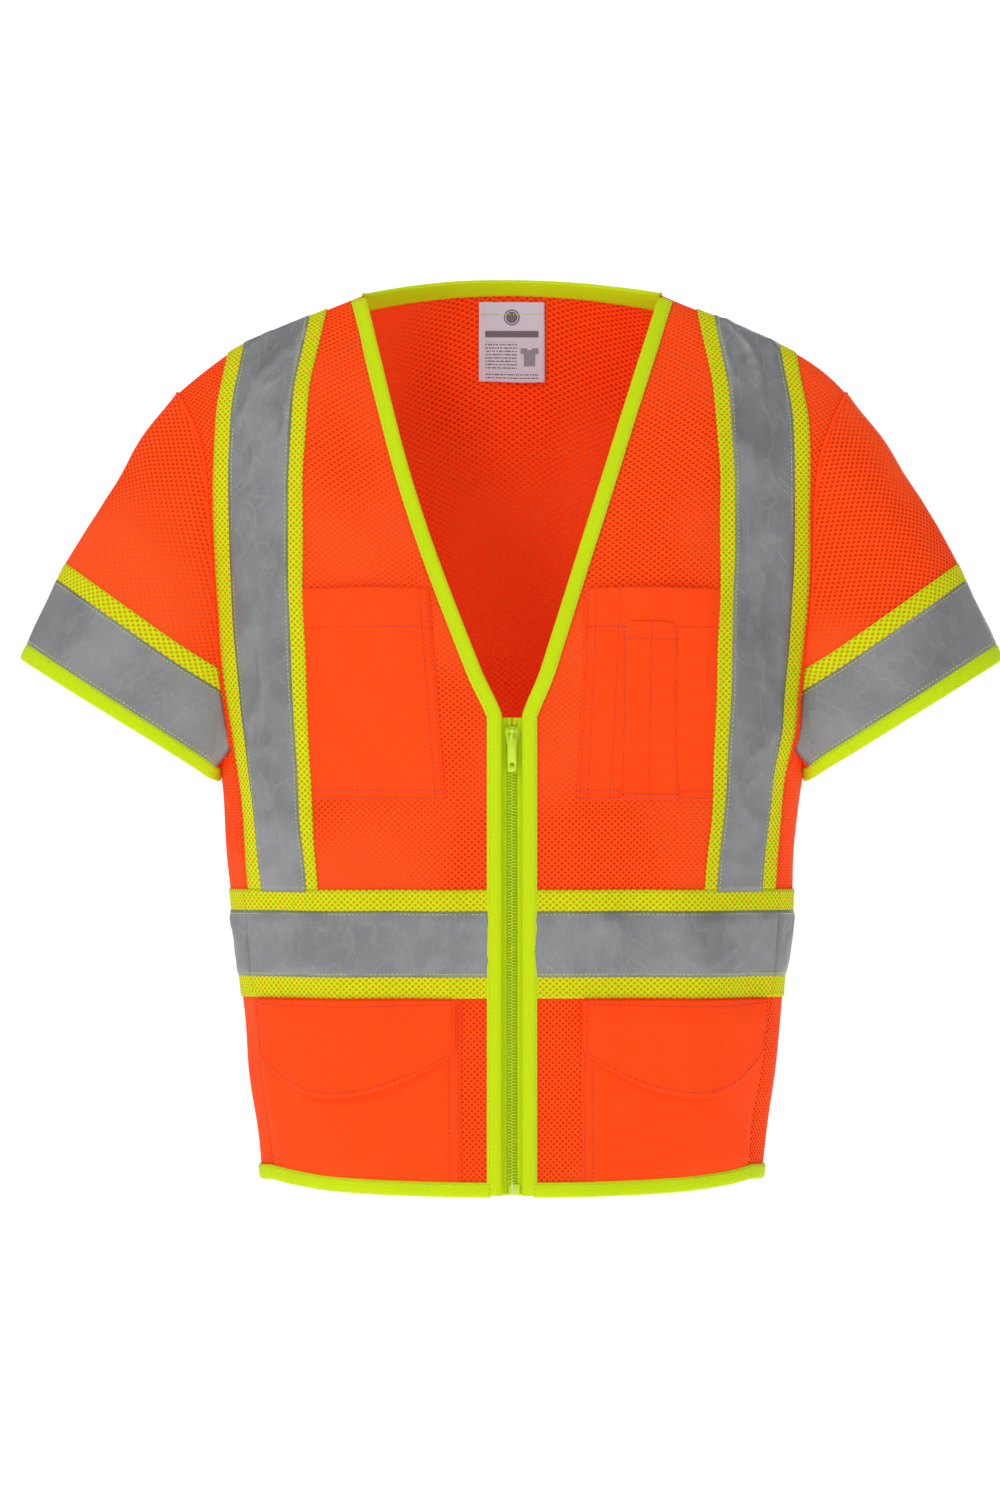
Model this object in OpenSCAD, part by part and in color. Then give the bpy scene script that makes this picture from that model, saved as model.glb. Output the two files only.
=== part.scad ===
/* [Torso] */
// Half of the vest's width just below the armholes
chest_half_w = 224; // [215:1:232]
// Half of the vest's width at the hem
hem_half_w = 193; // [188:1:205]
// How far the chest stands in front of the shoulder line
chest_depth = 134; // [128:1:142]
// How far the back stands behind the shoulder line
back_depth = 118; // [110:1:128]
// Height from the hem to the neck points
body_length = 700; // [690:5:730]

/* [Neck and shoulders] */
// Half of the neck opening's width at the shoulder
neck_half_w = 116; // [110:1:122]
// Depth of the V neck below the neck points
v_depth = 328; // [315:1:335]
// Height of the back neck above the neck points
back_neck_rise = 13; // [6:1:16]
// Half of the width across the shoulder points
shoulder_half_w = 262; // [258:1:266]
// Slope of the shoulder from the neck point, as a fall per millimetre
shoulder_slope = 0.4; // [0.36:0.01:0.44]

/* [Sleeves] */
// Distance of the sleeve opening's centre from the middle of the vest
sleeve_hem_x = 306; // [302:1:310]
// Depth of the sleeve opening's centre below the neck points
sleeve_hem_drop = 331; // [326:1:334]
// Half of the sleeve opening, measured along the sleeve hem
sleeve_half_w = 89; // [86:1:92]
// Half of the sleeve opening from front to back
sleeve_half_d = 60; // [54:1:66]
// Angle of the sleeve hem below level, in degrees
sleeve_angle = 32; // [29:1:35]

/* [Trim] */
// Width of the silver tape
tape_w = 51; // [48:1:53]
// Width of the lime band under the silver tape
band_w = 80; // [76:1:84]
// Width of the folded lime binding
binding_w = 11; // [9:1:12]
// Height of the waist band's lower edge above the hem
waist_band_rise = 153; // [150:1:158]

/* [Zipper] */
// Length of each tooth row
zipper_length = 366; // [360:1:368]
// Spacing of the teeth along the row
tooth_pitch = 2.4; // [2.2:0.1:3]
// Length of the pull tab
pull_length = 32; // [28:1:36]

/* [Hidden] */

// Colours of the cloth, trim and plastic
blaze_orange = [1.0, 0.27, 0.05];
lime = [0.76, 0.93, 0.03];
silver = [0.55, 0.56, 0.57];
label_grey = [0.8, 0.8, 0.82];

// Layers, as [inner face, outer face] in millimetres outside the body form
panel_layer = [0, 1.2];
zip_tape_layer = [-4.4, -3.6];
band_layer = [2.4, 3.1];
tape_layer = [4.1, 4.7];
pocket_layer = [2.0, 3.0];
pen_layer = [3.8, 4.6];
flap_layer = [5.4, 6.6];
loop_layer = [3.4, 3.9];
hook_layer = [4.3, 4.8];
label_layer = [-2.7, -2.2];
// The folded binding's outer skin, and its skin thickness
binding_out = 3.4;
binding_in = -3.1;
binding_skin = 0.7;

// Angle of the side seam, counted from the middle of the front
seam_angle = 72;
seam_gap = 0.7;
edge_x = 9;
underarm = -376;
waist_low = -body_length + waist_band_rise;
waist_high = waist_low + band_w + 4;
waist_mid = (waist_low + waist_high) / 2;
shoulder_round = 110;

// Half width, front depth and back depth of the body form at heights below the neck points
half_w_at = [
    [-body_length, hem_half_w], [-600, 208], [-500, 215], [-430, 220], [underarm, chest_half_w],
    [-340, 235], [-280, 248], [-220, 254], [-160, 260], [-100, 282], [0, 310],
];
front_at = [
    [-body_length, chest_depth - 12], [-v_depth, chest_depth], [-270, chest_depth - 4],
    [-200, chest_depth - 14], [-140, 107], [-100, 93], [-50, 72], [0, 50],
];
back_at = [
    [-body_length, back_depth - 6], [-500, back_depth - 10], [-400, back_depth - 5],
    [-300, back_depth], [-200, back_depth], [-100, 109], [-50, 98], [0, 84], [20, 76],
];
// Armhole edge as distance from the middle at heights below the neck points
armhole_at = [
    [underarm, 213], [-340, 222.5], [-280, 229], [-220, 233], [-160, 236], [-125, 240],
    [-100, 249], [-76, shoulder_half_w],
];
// Outer and inner edges of the shoulder stripe
stripe_out_at = [[-463, 203], [underarm, 209.5], [-340, 217.5], [-280, 225], [-220, 229],
    [-140, 232], [-90, 230], [-46, 222]];
stripe_in_at = [[-463, 148], [-360, 156], [-240, 162], [-140, 162], [-68, 156], [-12, 144]];

function mix(a, b, t) = a + (b - a) * t;
function unit(v) = v / norm(v);

// Height of the shoulder line, which rises towards the neck inside the neck opening
function shoulder_z(x) =
    x < neck_half_w ? (neck_half_w - x) * 0.9
    : -shoulder_slope * (x - neck_half_w) - (x > 200 ? 0.0046 * pow(x - 200, 2) : 0);
function roundness(x, z) =
    let (q = min(1, max(0, (shoulder_z(x) - z) / shoulder_round)))
    sqrt(1 - pow(1 - q, 2));

// Half width, with the table's corners eased
function half_w(z) =
    (lookup(z - 18, half_w_at) + 2 * lookup(z, half_w_at) + lookup(z + 18, half_w_at)) / 4;

// Body form: a is the angle from the middle of the front, z the height
function form(a, z) =
    let (x = half_w(z) * sin(a),
         depth = cos(a) > 0 ? lookup(z, front_at) : lookup(z, back_at))
    [x, -depth * cos(a) * roundness(abs(x), z), z];
function body(a, z, off) =
    let (p = form(a, z),
         along = form(a + 0.5, z) - form(a - 0.5, z),
         up = form(a, z) - form(a, z - 2),
         n = unit(cross(along, up)))
    p + n * off;
function front_angle(x, z) = asin(min(1, x / half_w(z)));
function back_angle(x, z) = 180 - front_angle(x, z);

// Armhole: phi runs from the shoulder point (0) down the front edge to the underarm (180) and
// up the back edge
armhole_z = [[0, -76], [25, -112], [50, -165], [75, -225], [100, -275], [125, -322], [150, -352],
    [180, underarm + 8]];
function turn(phi) = (phi % 360 + 360) % 360;
function armhole_angle(phi) =
    phi > 180 ? 180 - armhole_angle(360 - phi)
    : phi > 150 ? mix(armhole_angle(150), 90, (phi - 150) / 30)
    : let (z = lookup(phi, armhole_z)) front_angle(lookup(z, armhole_at), z);
function armhole_height(phi) = lookup(phi > 180 ? 360 - phi : phi, armhole_z);
sleeve_gap = 4;
function armhole_point(phi) =
    form(armhole_angle(turn(phi)), armhole_height(turn(phi))) + [sleeve_gap, 0, 0];

// Sleeve form: phi as on the armhole, d the distance up from the sleeve hem
function sleeve_hem_point(phi) = [
    sleeve_hem_x + sleeve_half_w * cos(phi) * cos(sleeve_angle),
    -sleeve_half_d * sin(phi),
    -sleeve_hem_drop + sleeve_half_w * cos(phi) * sin(sleeve_angle),
];
function sleeve_reach(phi) = norm(armhole_point(phi) - sleeve_hem_point(phi));
function sleeve_form(phi, d) =
    let (s = min(1, d / sleeve_reach(phi)),
         p = mix(sleeve_hem_point(phi), armhole_point(phi), s),
         puff = 4 * s * (1 - s) * sleeve_reach(phi) * 0.04)
    p + puff * [0.4 * cos(phi), -sin(phi), 0.8 * cos(phi)];
function sleeve(phi, d, off) =
    let (around = sleeve_form(phi + 2, d) - sleeve_form(phi - 2, d),
         up = sleeve_form(phi, d + 1.5) - sleeve_form(phi, max(0, d - 1.5)),
         n = unit(cross(up, around)))
    sleeve_form(phi, d) + n * off;

function skin(c, off, on_sleeve) = on_sleeve ? sleeve(c[0], c[1], off) : body(c[0], c[1], off);

// A sheet between two offsets of the body or sleeve form. at(u, t) gives the form's coordinates.
module sheet(at, layer, nu, nt, closed = false, on_sleeve = false) {
    columns = closed ? nu : nu + 1;
    count = columns * (nt + 1);
    points = [
        for (off = layer, i = [0:nt], j = [0:columns - 1])
            let (c = at(j / nu, i / nt)) skin(c, off, on_sleeve)
    ];
    function id(side, i, j) = side * count + i * columns + (closed ? j % nu : j);
    skins = [
        for (i = [0:nt - 1], j = [0:nu - 1])
            let (a = id(0, i, j), b = id(0, i, j + 1), c = id(0, i + 1, j + 1), d = id(0, i + 1, j))
            each [
                [a, b, c], [a, c, d],
                [a + count, c + count, b + count], [a + count, d + count, c + count],
            ]
    ];
    ends = [
        for (j = [0:nu - 1], i = [0, nt])
            let (a = id(0, i, j), b = id(0, i, j + 1))
            each i == 0 ? [[a, a + count, b + count], [a, b + count, b]]
                : [[a, b, b + count], [a, b + count, a + count]]
    ];
    sides = closed ? [] : [
        for (i = [0:nt - 1], j = [0, nu])
            let (a = id(0, i, j), b = id(0, i + 1, j))
            each j == 0 ? [[a, b, b + count], [a, b + count, a + count]]
                : [[a, a + count, b + count], [a, b + count, b]]
    ];
    polyhedron(points, concat(skins, ends, sides), convexity = 8);
}

// A folded binding that wraps an edge. at(t, h) gives the place h inside the edge.
module binding(at, nt, closed = false) {
    ring = [
        [binding_w, binding_out], [-1.6, binding_out], [-1.6, binding_in], [binding_w, binding_in],
        [binding_w, binding_in + binding_skin], [-0.5, binding_in + binding_skin],
        [-0.5, binding_out - binding_skin], [binding_w, binding_out - binding_skin],
    ];
    n = len(ring);
    rows = closed ? nt : nt + 1;
    points = [
        for (i = [0:rows - 1], r = ring) let (c = at(i / nt, r[0])) skin(c, r[1], closed)
    ];
    walls = [
        for (i = [0:nt - 1], j = [0:n - 1])
            let (a = i * n + j, b = i * n + (j + 1) % n, k = ((i + 1) % rows) * n,
                 c = k + (j + 1) % n, d = k + j)
            each [[a, b, c], [a, c, d]]
    ];
    caps = closed ? [] : [
        for (i = [0, nt])
            let (o = i * n)
            each i == nt ? [for (t = cap_triangles) [o + t[0], o + t[1], o + t[2]]]
                : [for (t = cap_triangles) [o + t[0], o + t[2], o + t[1]]]
    ];
    polyhedron(points, concat(walls, caps), convexity = 8);
}
cap_triangles = [[0, 1, 6], [0, 6, 7], [1, 2, 5], [1, 5, 6], [2, 3, 4], [2, 4, 5]];

// The right half is the left half mirrored
module right() {
    mirror([1, 0, 0]) children();
}

// Body panels
function ease(t) = 1 - pow(1 - t, 1.9);
function inner_edge(z) =
    z < -v_depth ? edge_x
    : edge_x + 3 + (neck_half_w - edge_x - 3) * min(1, 1 + z / v_depth);
function outer_angle(z) =
    z < underarm ? seam_angle - seam_gap
    : front_angle(lookup(z, armhole_at), z) - seam_gap;

corner_x = shoulder_half_w - 1;
corner_z = shoulder_z(corner_x) - 0.05;
side_low = -body_length + 12;
function front_place(u, t) =
    let (s = ease(t),
         x_top = mix(neck_half_w, corner_x, u),
         z_top = shoulder_z(x_top) - 0.05,
         z_in = mix(-body_length, -0.05, s),
         z_out = mix(side_low, corner_z, s),
         low = front_angle(inner_edge(z_in), z_in),
         top_fix = front_angle(x_top, z_top)
             - mix(front_angle(neck_half_w, -0.05), outer_angle(corner_z), u))
    [mix(low, outer_angle(z_out), u) + pow(s, 4) * top_fix,
     mix(-body_length + 12 * u * u, z_top, s)];
module front_panel() {
    color(blaze_orange) sheet(function (u, t) front_place(u, t), panel_layer, 20, 26);
}

// Left edge of the back panel: up the side seam, round the underarm and up the back armhole
notch_low = 0.3;
notch_high = 0.45;
notch_z = -354;
back_edge_low = [[0, side_low], [notch_low, underarm - 4], [0.38, underarm - 2],
    [notch_high, notch_z]];
function back_edge_z(t) =
    t < notch_high ? lookup(t, back_edge_low)
    : mix(notch_z, corner_z, ease((t - notch_high) / (1 - notch_high)));
function back_edge_angle(t, z) =
    t < notch_low ? seam_angle
    : t < notch_high ? mix(seam_angle, back_angle(lookup(notch_z, armhole_at), notch_z),
        (t - notch_low) / (notch_high - notch_low))
    : back_angle(lookup(z, armhole_at), z);
shoulder_share = 0.55;
function back_place(u, t) =
    let (v = 1 - abs(2 * u - 1),
         z_edge = back_edge_z(t),
         a_edge = back_edge_angle(t, z_edge) + seam_gap,
         x_top = v < shoulder_share ? mix(corner_x, neck_half_w, v / shoulder_share)
             : mix(neck_half_w, 0, (v - shoulder_share) / (1 - shoulder_share)),
         z_top = v < shoulder_share ? shoulder_z(x_top) - 0.05
             : back_neck_rise * (1 - pow(x_top / neck_half_w, 2)) - 0.05 * x_top / neck_half_w,
         rise = (z_edge - side_low) / (corner_z - side_low),
         top_fix = back_angle(x_top, z_top) - mix(back_edge_angle(1, corner_z) + seam_gap, 180, v),
         a = mix(a_edge, 180, v) + pow(max(0, rise), 5) * top_fix)
    [u < 0.5 ? a : 360 - a, mix(side_low, z_top, rise)];
module back_panel() {
    color(blaze_orange) sheet(function (u, t) back_place(u, t), panel_layer, 46, 27);
}

// Shoulder stripes: u runs from the inner to the outer edge
function stripe_place(u, t) =
    let (s = ease(t), low = waist_high + 0.6,
         z_in = mix(low, shoulder_z(144) - 0.05, s),
         z_out = mix(low, shoulder_z(222) - 0.05, s),
         x = mix(lookup(z_in, stripe_in_at), lookup(z_out, stripe_out_at), u),
         z = mix(low, shoulder_z(mix(144, 222, u)) - 0.05, s))
    [front_angle(x, z), z];
tape_margin = (1 - tape_w / band_w) / 2;
function tape_u(u) = mix(tape_margin, 1 - tape_margin, u);
module stripe_band() {
    color(lime) sheet(function (u, t) stripe_place(u, t), band_layer, 7, 19);
}
module stripe_tape() {
    color(silver) sheet(function (u, t) stripe_place(tape_u(u), t), tape_layer, 4, 19);
}
function behind(place) = [180 - place[0], place[1]];
module back_stripe_band() {
    color(lime) sheet(function (u, t) behind(stripe_place(1 - u, t)), band_layer, 7, 19);
}
module back_stripe_tape() {
    color(silver)
        sheet(function (u, t) behind(stripe_place(tape_u(1 - u), t)), tape_layer, 4, 19);
}

// Waist bands
band_start = 21;
function waist_place(u, t, low, high) =
    let (z = mix(low, high, t)) [mix(front_angle(band_start, z), seam_angle - seam_gap, u), z];
module waist_strip(layer, low, high) {
    sheet(function (u, t) waist_place(u, t, low, high), layer, 14, 2);
}
module back_waist_strip(layer, low, high) {
    first = seam_angle + seam_gap;
    sheet(function (u, t) [mix(first, 360 - first, u), mix(low, high, t)], layer, 36, 2);
}
tape_low = waist_mid - tape_w / 2;
tape_high = waist_mid + tape_w / 2;
module waist_band() { color(lime) waist_strip(band_layer, waist_low, waist_high); }
module waist_tape() { color(silver) waist_strip(tape_layer, tape_low, tape_high); }
module back_waist_band() { color(lime) back_waist_strip(band_layer, waist_low, waist_high); }
module back_waist_tape() { color(silver) back_waist_strip(tape_layer, tape_low, tape_high); }

// Folded bindings
function front_edge_place(t, h) =
    let (z = mix(-body_length, -7, t),
         slope = z < -v_depth ? 0 : (inner_edge(z + 1) - inner_edge(z - 1)) / 2,
         n = norm([1, slope]),
         zz = z - h * slope / n)
    [front_angle(inner_edge(z) + h / n, zz), zz];
module front_binding() {
    color(lime) binding(function (t, h) front_edge_place(t, h), 30);
}
module hem_binding() {
    color(lime)
        binding(function (t, h)
            let (u = 1 - t, z = -body_length + 12 * u * u + h)
            [mix(front_angle(band_start, z), seam_angle - seam_gap, u), z], 14);
}
module back_hem_binding() {
    first = seam_angle + seam_gap;
    color(lime)
        binding(function (t, h) [mix(360 - first, first, t), -body_length + 12 + h], 36);
}
module back_neck_binding() {
    color(lime)
        binding(function (t, h)
            let (x = (neck_half_w - 3) * cos(180 * t),
                 z = back_neck_rise * (1 - pow(x / neck_half_w, 2)) - h)
            [back_angle(x, z), z], 30);
}
module size_label() {
    color(label_grey)
        sheet(function (u, t)
            let (z = mix(-64, -2, t)) [back_angle(mix(26, -26, u), z), z], label_layer, 4, 4);
}

// Pockets
pocket_low = side_low;
chest_low = -394;
chest_high = -230;
module chest_pocket(x_high, x_low) {
    color(blaze_orange)
        sheet(function (u, t)
            let (z = mix(chest_low, chest_high, t),
                 x = mix(mix(x_low, x_high, t), lookup(z, stripe_in_at) - 1.5, u))
            [front_angle(x, z), z], pocket_layer, 6, 5);
}
module pen_pocket() {
    color(blaze_orange)
        sheet(function (u, t)
            let (z = mix(chest_low + 2, chest_high - 26, t)) [front_angle(mix(84, 128, u), z), z],
            pen_layer, 4, 4);
}
module lower_pocket(x_in) {
    color(blaze_orange)
        sheet(function (u, t)
            let (z = mix(pocket_low + binding_w - 8 * (1 - u), waist_low - 4, t))
            [mix(front_angle(x_in, z), seam_angle - seam_gap - 0.6, u), z], pocket_layer, 12, 4);
}
flap_top = waist_low - 2.5;
flap_end = seam_angle - 3;
function flap_angle(x_in, u, z) = mix(front_angle(x_in, z), flap_end, u);
function flap_low(u) = -588 - 36 * pow(sin(180 * min(1, max(0, u))), 0.8);
module pocket_flap(x_in) {
    color(blaze_orange)
        sheet(function (u, t)
            let (z = mix(flap_low(u), flap_top, t)) [flap_angle(x_in, u, z), z],
            flap_layer, 14, 4);
}
module fastener_patch(x_in, layer, shade) {
    middle = flap_angle(x_in, 0.5, flap_top);
    color(shade)
        sheet(function (u, t) [middle + mix(-9, 9, u), mix(-612, -592, t)], layer, 4, 2);
}
module loop_patch(x_in) { fastener_patch(x_in, loop_layer, "orangered"); }
module hook_patch(x_in) { fastener_patch(x_in, hook_layer, "orangered"); }

// Sleeves
function reach_to(phi, d) = min(d, sleeve_reach(phi) - 7);
module sleeve_cloth() {
    color(blaze_orange)
        sheet(function (u, t) [360 * u, t * sleeve_reach(360 * u)], panel_layer, 36, 6, true, true);
}
module sleeve_strip(layer, low, high) {
    sheet(function (u, t)
        let (phi = mix(-148, 148, u)) [phi, mix(low, reach_to(phi, high), t)],
        layer, 30, 2, false, true);
}
module sleeve_band() { color(lime) sleeve_strip(band_layer, binding_w + 0.8, band_w); }
module sleeve_tape() {
    color(silver) sleeve_strip(tape_layer, binding_w + 2, binding_w + 2 + tape_w);
}
module sleeve_binding() {
    color(lime) binding(function (t, h) [360 * t, h], 36, true);
}

// Zipper: s runs up its line from the hem, out is the distance in front of the body form
zip_lean = atan((lookup(-v_depth, front_at) - lookup(-body_length, front_at))
    / (body_length - v_depth));
zip_plane = -4;
row_in = 0.7;
row_out = 3.2;
teeth_low = 9.4;
slider_h = 15;
slider_low = zipper_length - 2.5 - slider_h;
module zip_frame() {
    translate([0, -lookup(-body_length, front_at), -body_length]) rotate([zip_lean, 0, 0]) children();
}
module zip_block(x0, x1, out0, out1, s0, s1) {
    translate([x0, -out1, s0]) cube([x1 - x0, out1 - out0, s1 - s0]);
}
module zipper_tape() {
    color(lime)
        sheet(function (u, t)
            let (z = mix(-body_length + teeth_low + 0.6, -v_depth - 4, t)) [front_angle(mix(3.4, 17, u), z), z],
            zip_tape_layer, 3, 8);
}
module zipper_teeth() {
    count = floor((zipper_length - 2 - teeth_low) / tooth_pitch);
    color(lime) zip_frame()
        translate([0, -zip_plane + 1.5, 0]) rotate([90, 0, 0]) linear_extrude(3)
            polygon(concat(
                [[row_out, teeth_low + count * tooth_pitch], [row_out, teeth_low]],
                [for (i = [0:count - 1], k = [[0.12, 1.1], [0.12, 0], [0.62, 0], [0.62, 1.1]])
                    [row_in + k[1], teeth_low + (i + k[0]) * tooth_pitch]]));
}
module top_stop() {
    color(lime) zip_frame()
        zip_block(row_in, row_out, zip_plane - 1.7, zip_plane + 1.7,
            zipper_length - 1.6, zipper_length + 1.2);
}
module insertion_pin() {
    color(lime) zip_frame()
        zip_block(row_in, 2.6, zip_plane - 1.2, zip_plane + 1.2, 0.5, teeth_low - 0.3);
}
module retainer_box() {
    color(lime) zip_frame()
        zip_block(row_in, 6.4, zip_plane - 2.2, zip_plane + 2.2, 0.5, teeth_low - 0.3);
}
module zipper_slider() {
    top = slider_low + slider_h;
    color(lime) zip_frame() {
        zip_block(-5.4, 5.4, zip_plane + 2, zip_plane + 3.3, slider_low, top);
        zip_block(-5.4, 5.4, zip_plane - 3.3, zip_plane - 2, slider_low, top);
        zip_block(-0.3, 0.3, zip_plane - 2.2, zip_plane + 2.2, top - 6, top - 0.5);
        for (x = [-3.4, 2.4]) zip_block(x, x + 1, zip_plane + 3.2, zip_plane + 7.4, top - 6, top - 1);
        translate([-3, -(zip_plane + 5.9), top - 3.5]) rotate([0, 90, 0]) cylinder(h = 6, r = 0.7, $fn = 16);
    }
}
module pull_tab() {
    pivot = slider_low + slider_h - 3.5;
    color(lime) zip_frame()
        translate([0, -(zip_plane + 5.9), pivot])
        difference() {
            union() {
                rotate([0, 90, 0]) translate([0, 0, -2]) cylinder(h = 4, r = 1.9, $fn = 32);
                translate([-2, -0.8, -6]) cube([4, 1.6, 5]);
                translate([-3.6, -0.8, -pull_length]) cube([7.2, 1.6, pull_length - 5.4]);
            }
            rotate([0, 90, 0]) cylinder(h = 12, r = 1.1, center = true, $fn = 32);
            translate([0, 0, -pull_length + 6]) rotate([90, 0, 0])
                cylinder(h = 12, r = 1.6, center = true, $fn = 24);
        }
}

back_panel();
back_neck_binding();
back_hem_binding();
back_waist_band();
back_waist_tape();
right() back_stripe_band();  // back_stripe_band_right
back_stripe_band();  // back_stripe_band_left
right() back_stripe_tape();  // back_stripe_tape_right
back_stripe_tape();  // back_stripe_tape_left
size_label();
right() front_panel();  // front_panel_right
front_panel();  // front_panel_left
right() front_binding();  // front_binding_right
front_binding();  // front_binding_left
right() hem_binding();  // hem_binding_right
hem_binding();  // hem_binding_left
right() stripe_band();  // stripe_band_right
stripe_band();  // stripe_band_left
right() stripe_tape();  // stripe_tape_right
stripe_tape();  // stripe_tape_left
right() waist_band();  // waist_band_right
waist_band();  // waist_band_left
right() waist_tape();  // waist_tape_right
waist_tape();  // waist_tape_left
right() chest_pocket(64, 51);  // chest_pocket_right
chest_pocket(57, 50);  // chest_pocket_left
pen_pocket();  // pen_pocket_left
right() lower_pocket(39);  // lower_pocket_right
lower_pocket(54);  // lower_pocket_left
right() loop_patch(43);  // pocket_loop_patch_right
loop_patch(55);  // pocket_loop_patch_left
right() pocket_flap(43);  // pocket_flap_right
pocket_flap(55);  // pocket_flap_left
right() hook_patch(43);  // flap_hook_patch_right
hook_patch(55);  // flap_hook_patch_left
right() zipper_tape();  // zipper_tape_right
zipper_tape();  // zipper_tape_left
right() zipper_teeth();  // zipper_teeth_right
zipper_teeth();  // zipper_teeth_left
right() top_stop();  // top_stop_right
top_stop();  // top_stop_left
right() insertion_pin();
retainer_box();
zipper_slider();
pull_tab();
right() sleeve_cloth();  // sleeve_right
sleeve_cloth();  // sleeve_left
right() sleeve_band();  // sleeve_band_right
sleeve_band();  // sleeve_band_left
right() sleeve_tape();  // sleeve_tape_right
sleeve_tape();  // sleeve_tape_left
right() sleeve_binding();  // sleeve_binding_right
sleeve_binding();  // sleeve_binding_left
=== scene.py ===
import math

import bmesh
import bpy
import numpy as np
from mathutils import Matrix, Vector, noise


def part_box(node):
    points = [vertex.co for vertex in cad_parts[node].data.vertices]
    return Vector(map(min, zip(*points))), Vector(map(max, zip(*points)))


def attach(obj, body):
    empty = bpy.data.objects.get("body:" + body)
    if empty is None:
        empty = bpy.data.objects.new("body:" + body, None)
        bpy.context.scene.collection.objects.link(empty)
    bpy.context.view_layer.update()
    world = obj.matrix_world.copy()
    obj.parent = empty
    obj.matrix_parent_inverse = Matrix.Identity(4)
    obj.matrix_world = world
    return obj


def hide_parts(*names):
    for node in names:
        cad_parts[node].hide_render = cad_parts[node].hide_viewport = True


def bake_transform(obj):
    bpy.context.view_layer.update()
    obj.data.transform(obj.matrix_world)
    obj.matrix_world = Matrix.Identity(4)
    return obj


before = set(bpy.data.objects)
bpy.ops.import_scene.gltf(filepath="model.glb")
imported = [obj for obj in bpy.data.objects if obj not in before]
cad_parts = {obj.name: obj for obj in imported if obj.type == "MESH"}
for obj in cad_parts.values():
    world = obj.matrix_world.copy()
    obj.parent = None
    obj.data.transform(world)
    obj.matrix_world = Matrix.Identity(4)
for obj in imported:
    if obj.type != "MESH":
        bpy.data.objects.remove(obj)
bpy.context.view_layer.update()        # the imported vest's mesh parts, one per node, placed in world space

print("body form")

vest = {
    "hem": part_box("front_panel_left")[0].z,     # lowest point, at the front middle
    "sideHem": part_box("back_panel")[0].z,
    "neckHalf": 0.116,
    "shoulderHalf": 0.262,
    "shoulderSlope": 0.4,
    "shoulderRound": 0.110,     # how far down the shoulders round over
    "backNeckRise": 0.013,
    "seamAngle": 72,            # side seam, in degrees from the front middle
    "seamTop": -0.352,
    "zipEdge": 0.009,
    "vPoint": -0.328,
    "halfWidth": [(-0.70, 0.193), (-0.60, 0.208), (-0.50, 0.215), (-0.43, 0.220), (-0.376, 0.224),
                  (-0.34, 0.235), (-0.28, 0.248), (-0.22, 0.254), (-0.16, 0.260), (-0.10, 0.282),
                  (0.0, 0.310)],
    "front": [(-0.70, 0.122), (-0.328, 0.134), (-0.27, 0.130), (-0.20, 0.120), (-0.14, 0.107),
              (-0.10, 0.093), (-0.05, 0.072), (0.0, 0.050)],
    "back": [(-0.70, 0.112), (-0.50, 0.108), (-0.40, 0.113), (-0.30, 0.118), (-0.20, 0.118),
             (-0.10, 0.109), (-0.05, 0.098), (0.0, 0.084), (0.02, 0.076)],
    "armhole": [(-0.376, 0.213), (-0.34, 0.2225), (-0.28, 0.229), (-0.22, 0.233), (-0.16, 0.236),
                (-0.125, 0.240), (-0.10, 0.249), (-0.076, 0.262)],
}


def mix(a, b, t):
    return a + (b - a) * t


def smooth(t):
    t = np.clip(t, 0, 1)
    return t * t * (3 - 2 * t)


def easedTable(points, spread=0.018):     # a table with its corners rounded off
    xs, ys = np.array(points).T
    fine = np.arange(xs[0] - 0.1, xs[-1] + 0.1, 0.002)
    raw = np.interp(fine, xs, ys)
    before, after = fine < xs[0], fine > xs[-1]
    raw[before] = ys[0] + (fine[before] - xs[0]) * (ys[1] - ys[0]) / (xs[1] - xs[0])
    raw[after] = ys[-1] + (fine[after] - xs[-1]) * (ys[-1] - ys[-2]) / (xs[-1] - xs[-2])
    steps = np.arange(-30, 31) * 0.002
    weights = np.exp(-(steps / spread) ** 2)
    return fine[30:-30], np.convolve(raw, weights / weights.sum(), "valid")


halfWidthTable = easedTable(vest["halfWidth"])
frontTable = easedTable(vest["front"])
backTable = easedTable(vest["back"])
armholeTable = easedTable(vest["armhole"], 0.010)


def halfWidth(z):
    return np.interp(z, *halfWidthTable)


def shoulderZ(x):
    inside = (vest["neckHalf"] - x) * 0.9
    outside = -vest["shoulderSlope"] * (x - vest["neckHalf"]) - 4.6 * np.maximum(0, x - 0.2) ** 2
    return np.where(x < vest["neckHalf"], inside, outside)


def roundness(x, z):
    q = np.clip((shoulderZ(x) - z) / vest["shoulderRound"], 0, 1)
    return np.sqrt(1 - (1 - q) ** 2)


def form(a, z):     # a in degrees from the front middle, towards the wearer's left
    a = np.radians(a)
    x = halfWidth(z) * np.sin(a)
    depth = np.where(np.cos(a) > 0, np.interp(z, *frontTable), np.interp(z, *backTable))
    return np.stack([x, -depth * np.cos(a) * roundness(np.abs(x), z), z], -1)


def unit(v):
    return v / np.maximum(np.linalg.norm(v, axis=-1, keepdims=True), 1e-9)


def frontAngle(x, z):
    return np.degrees(np.arcsin(np.clip(x / halfWidth(z), -1, 1)))


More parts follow.
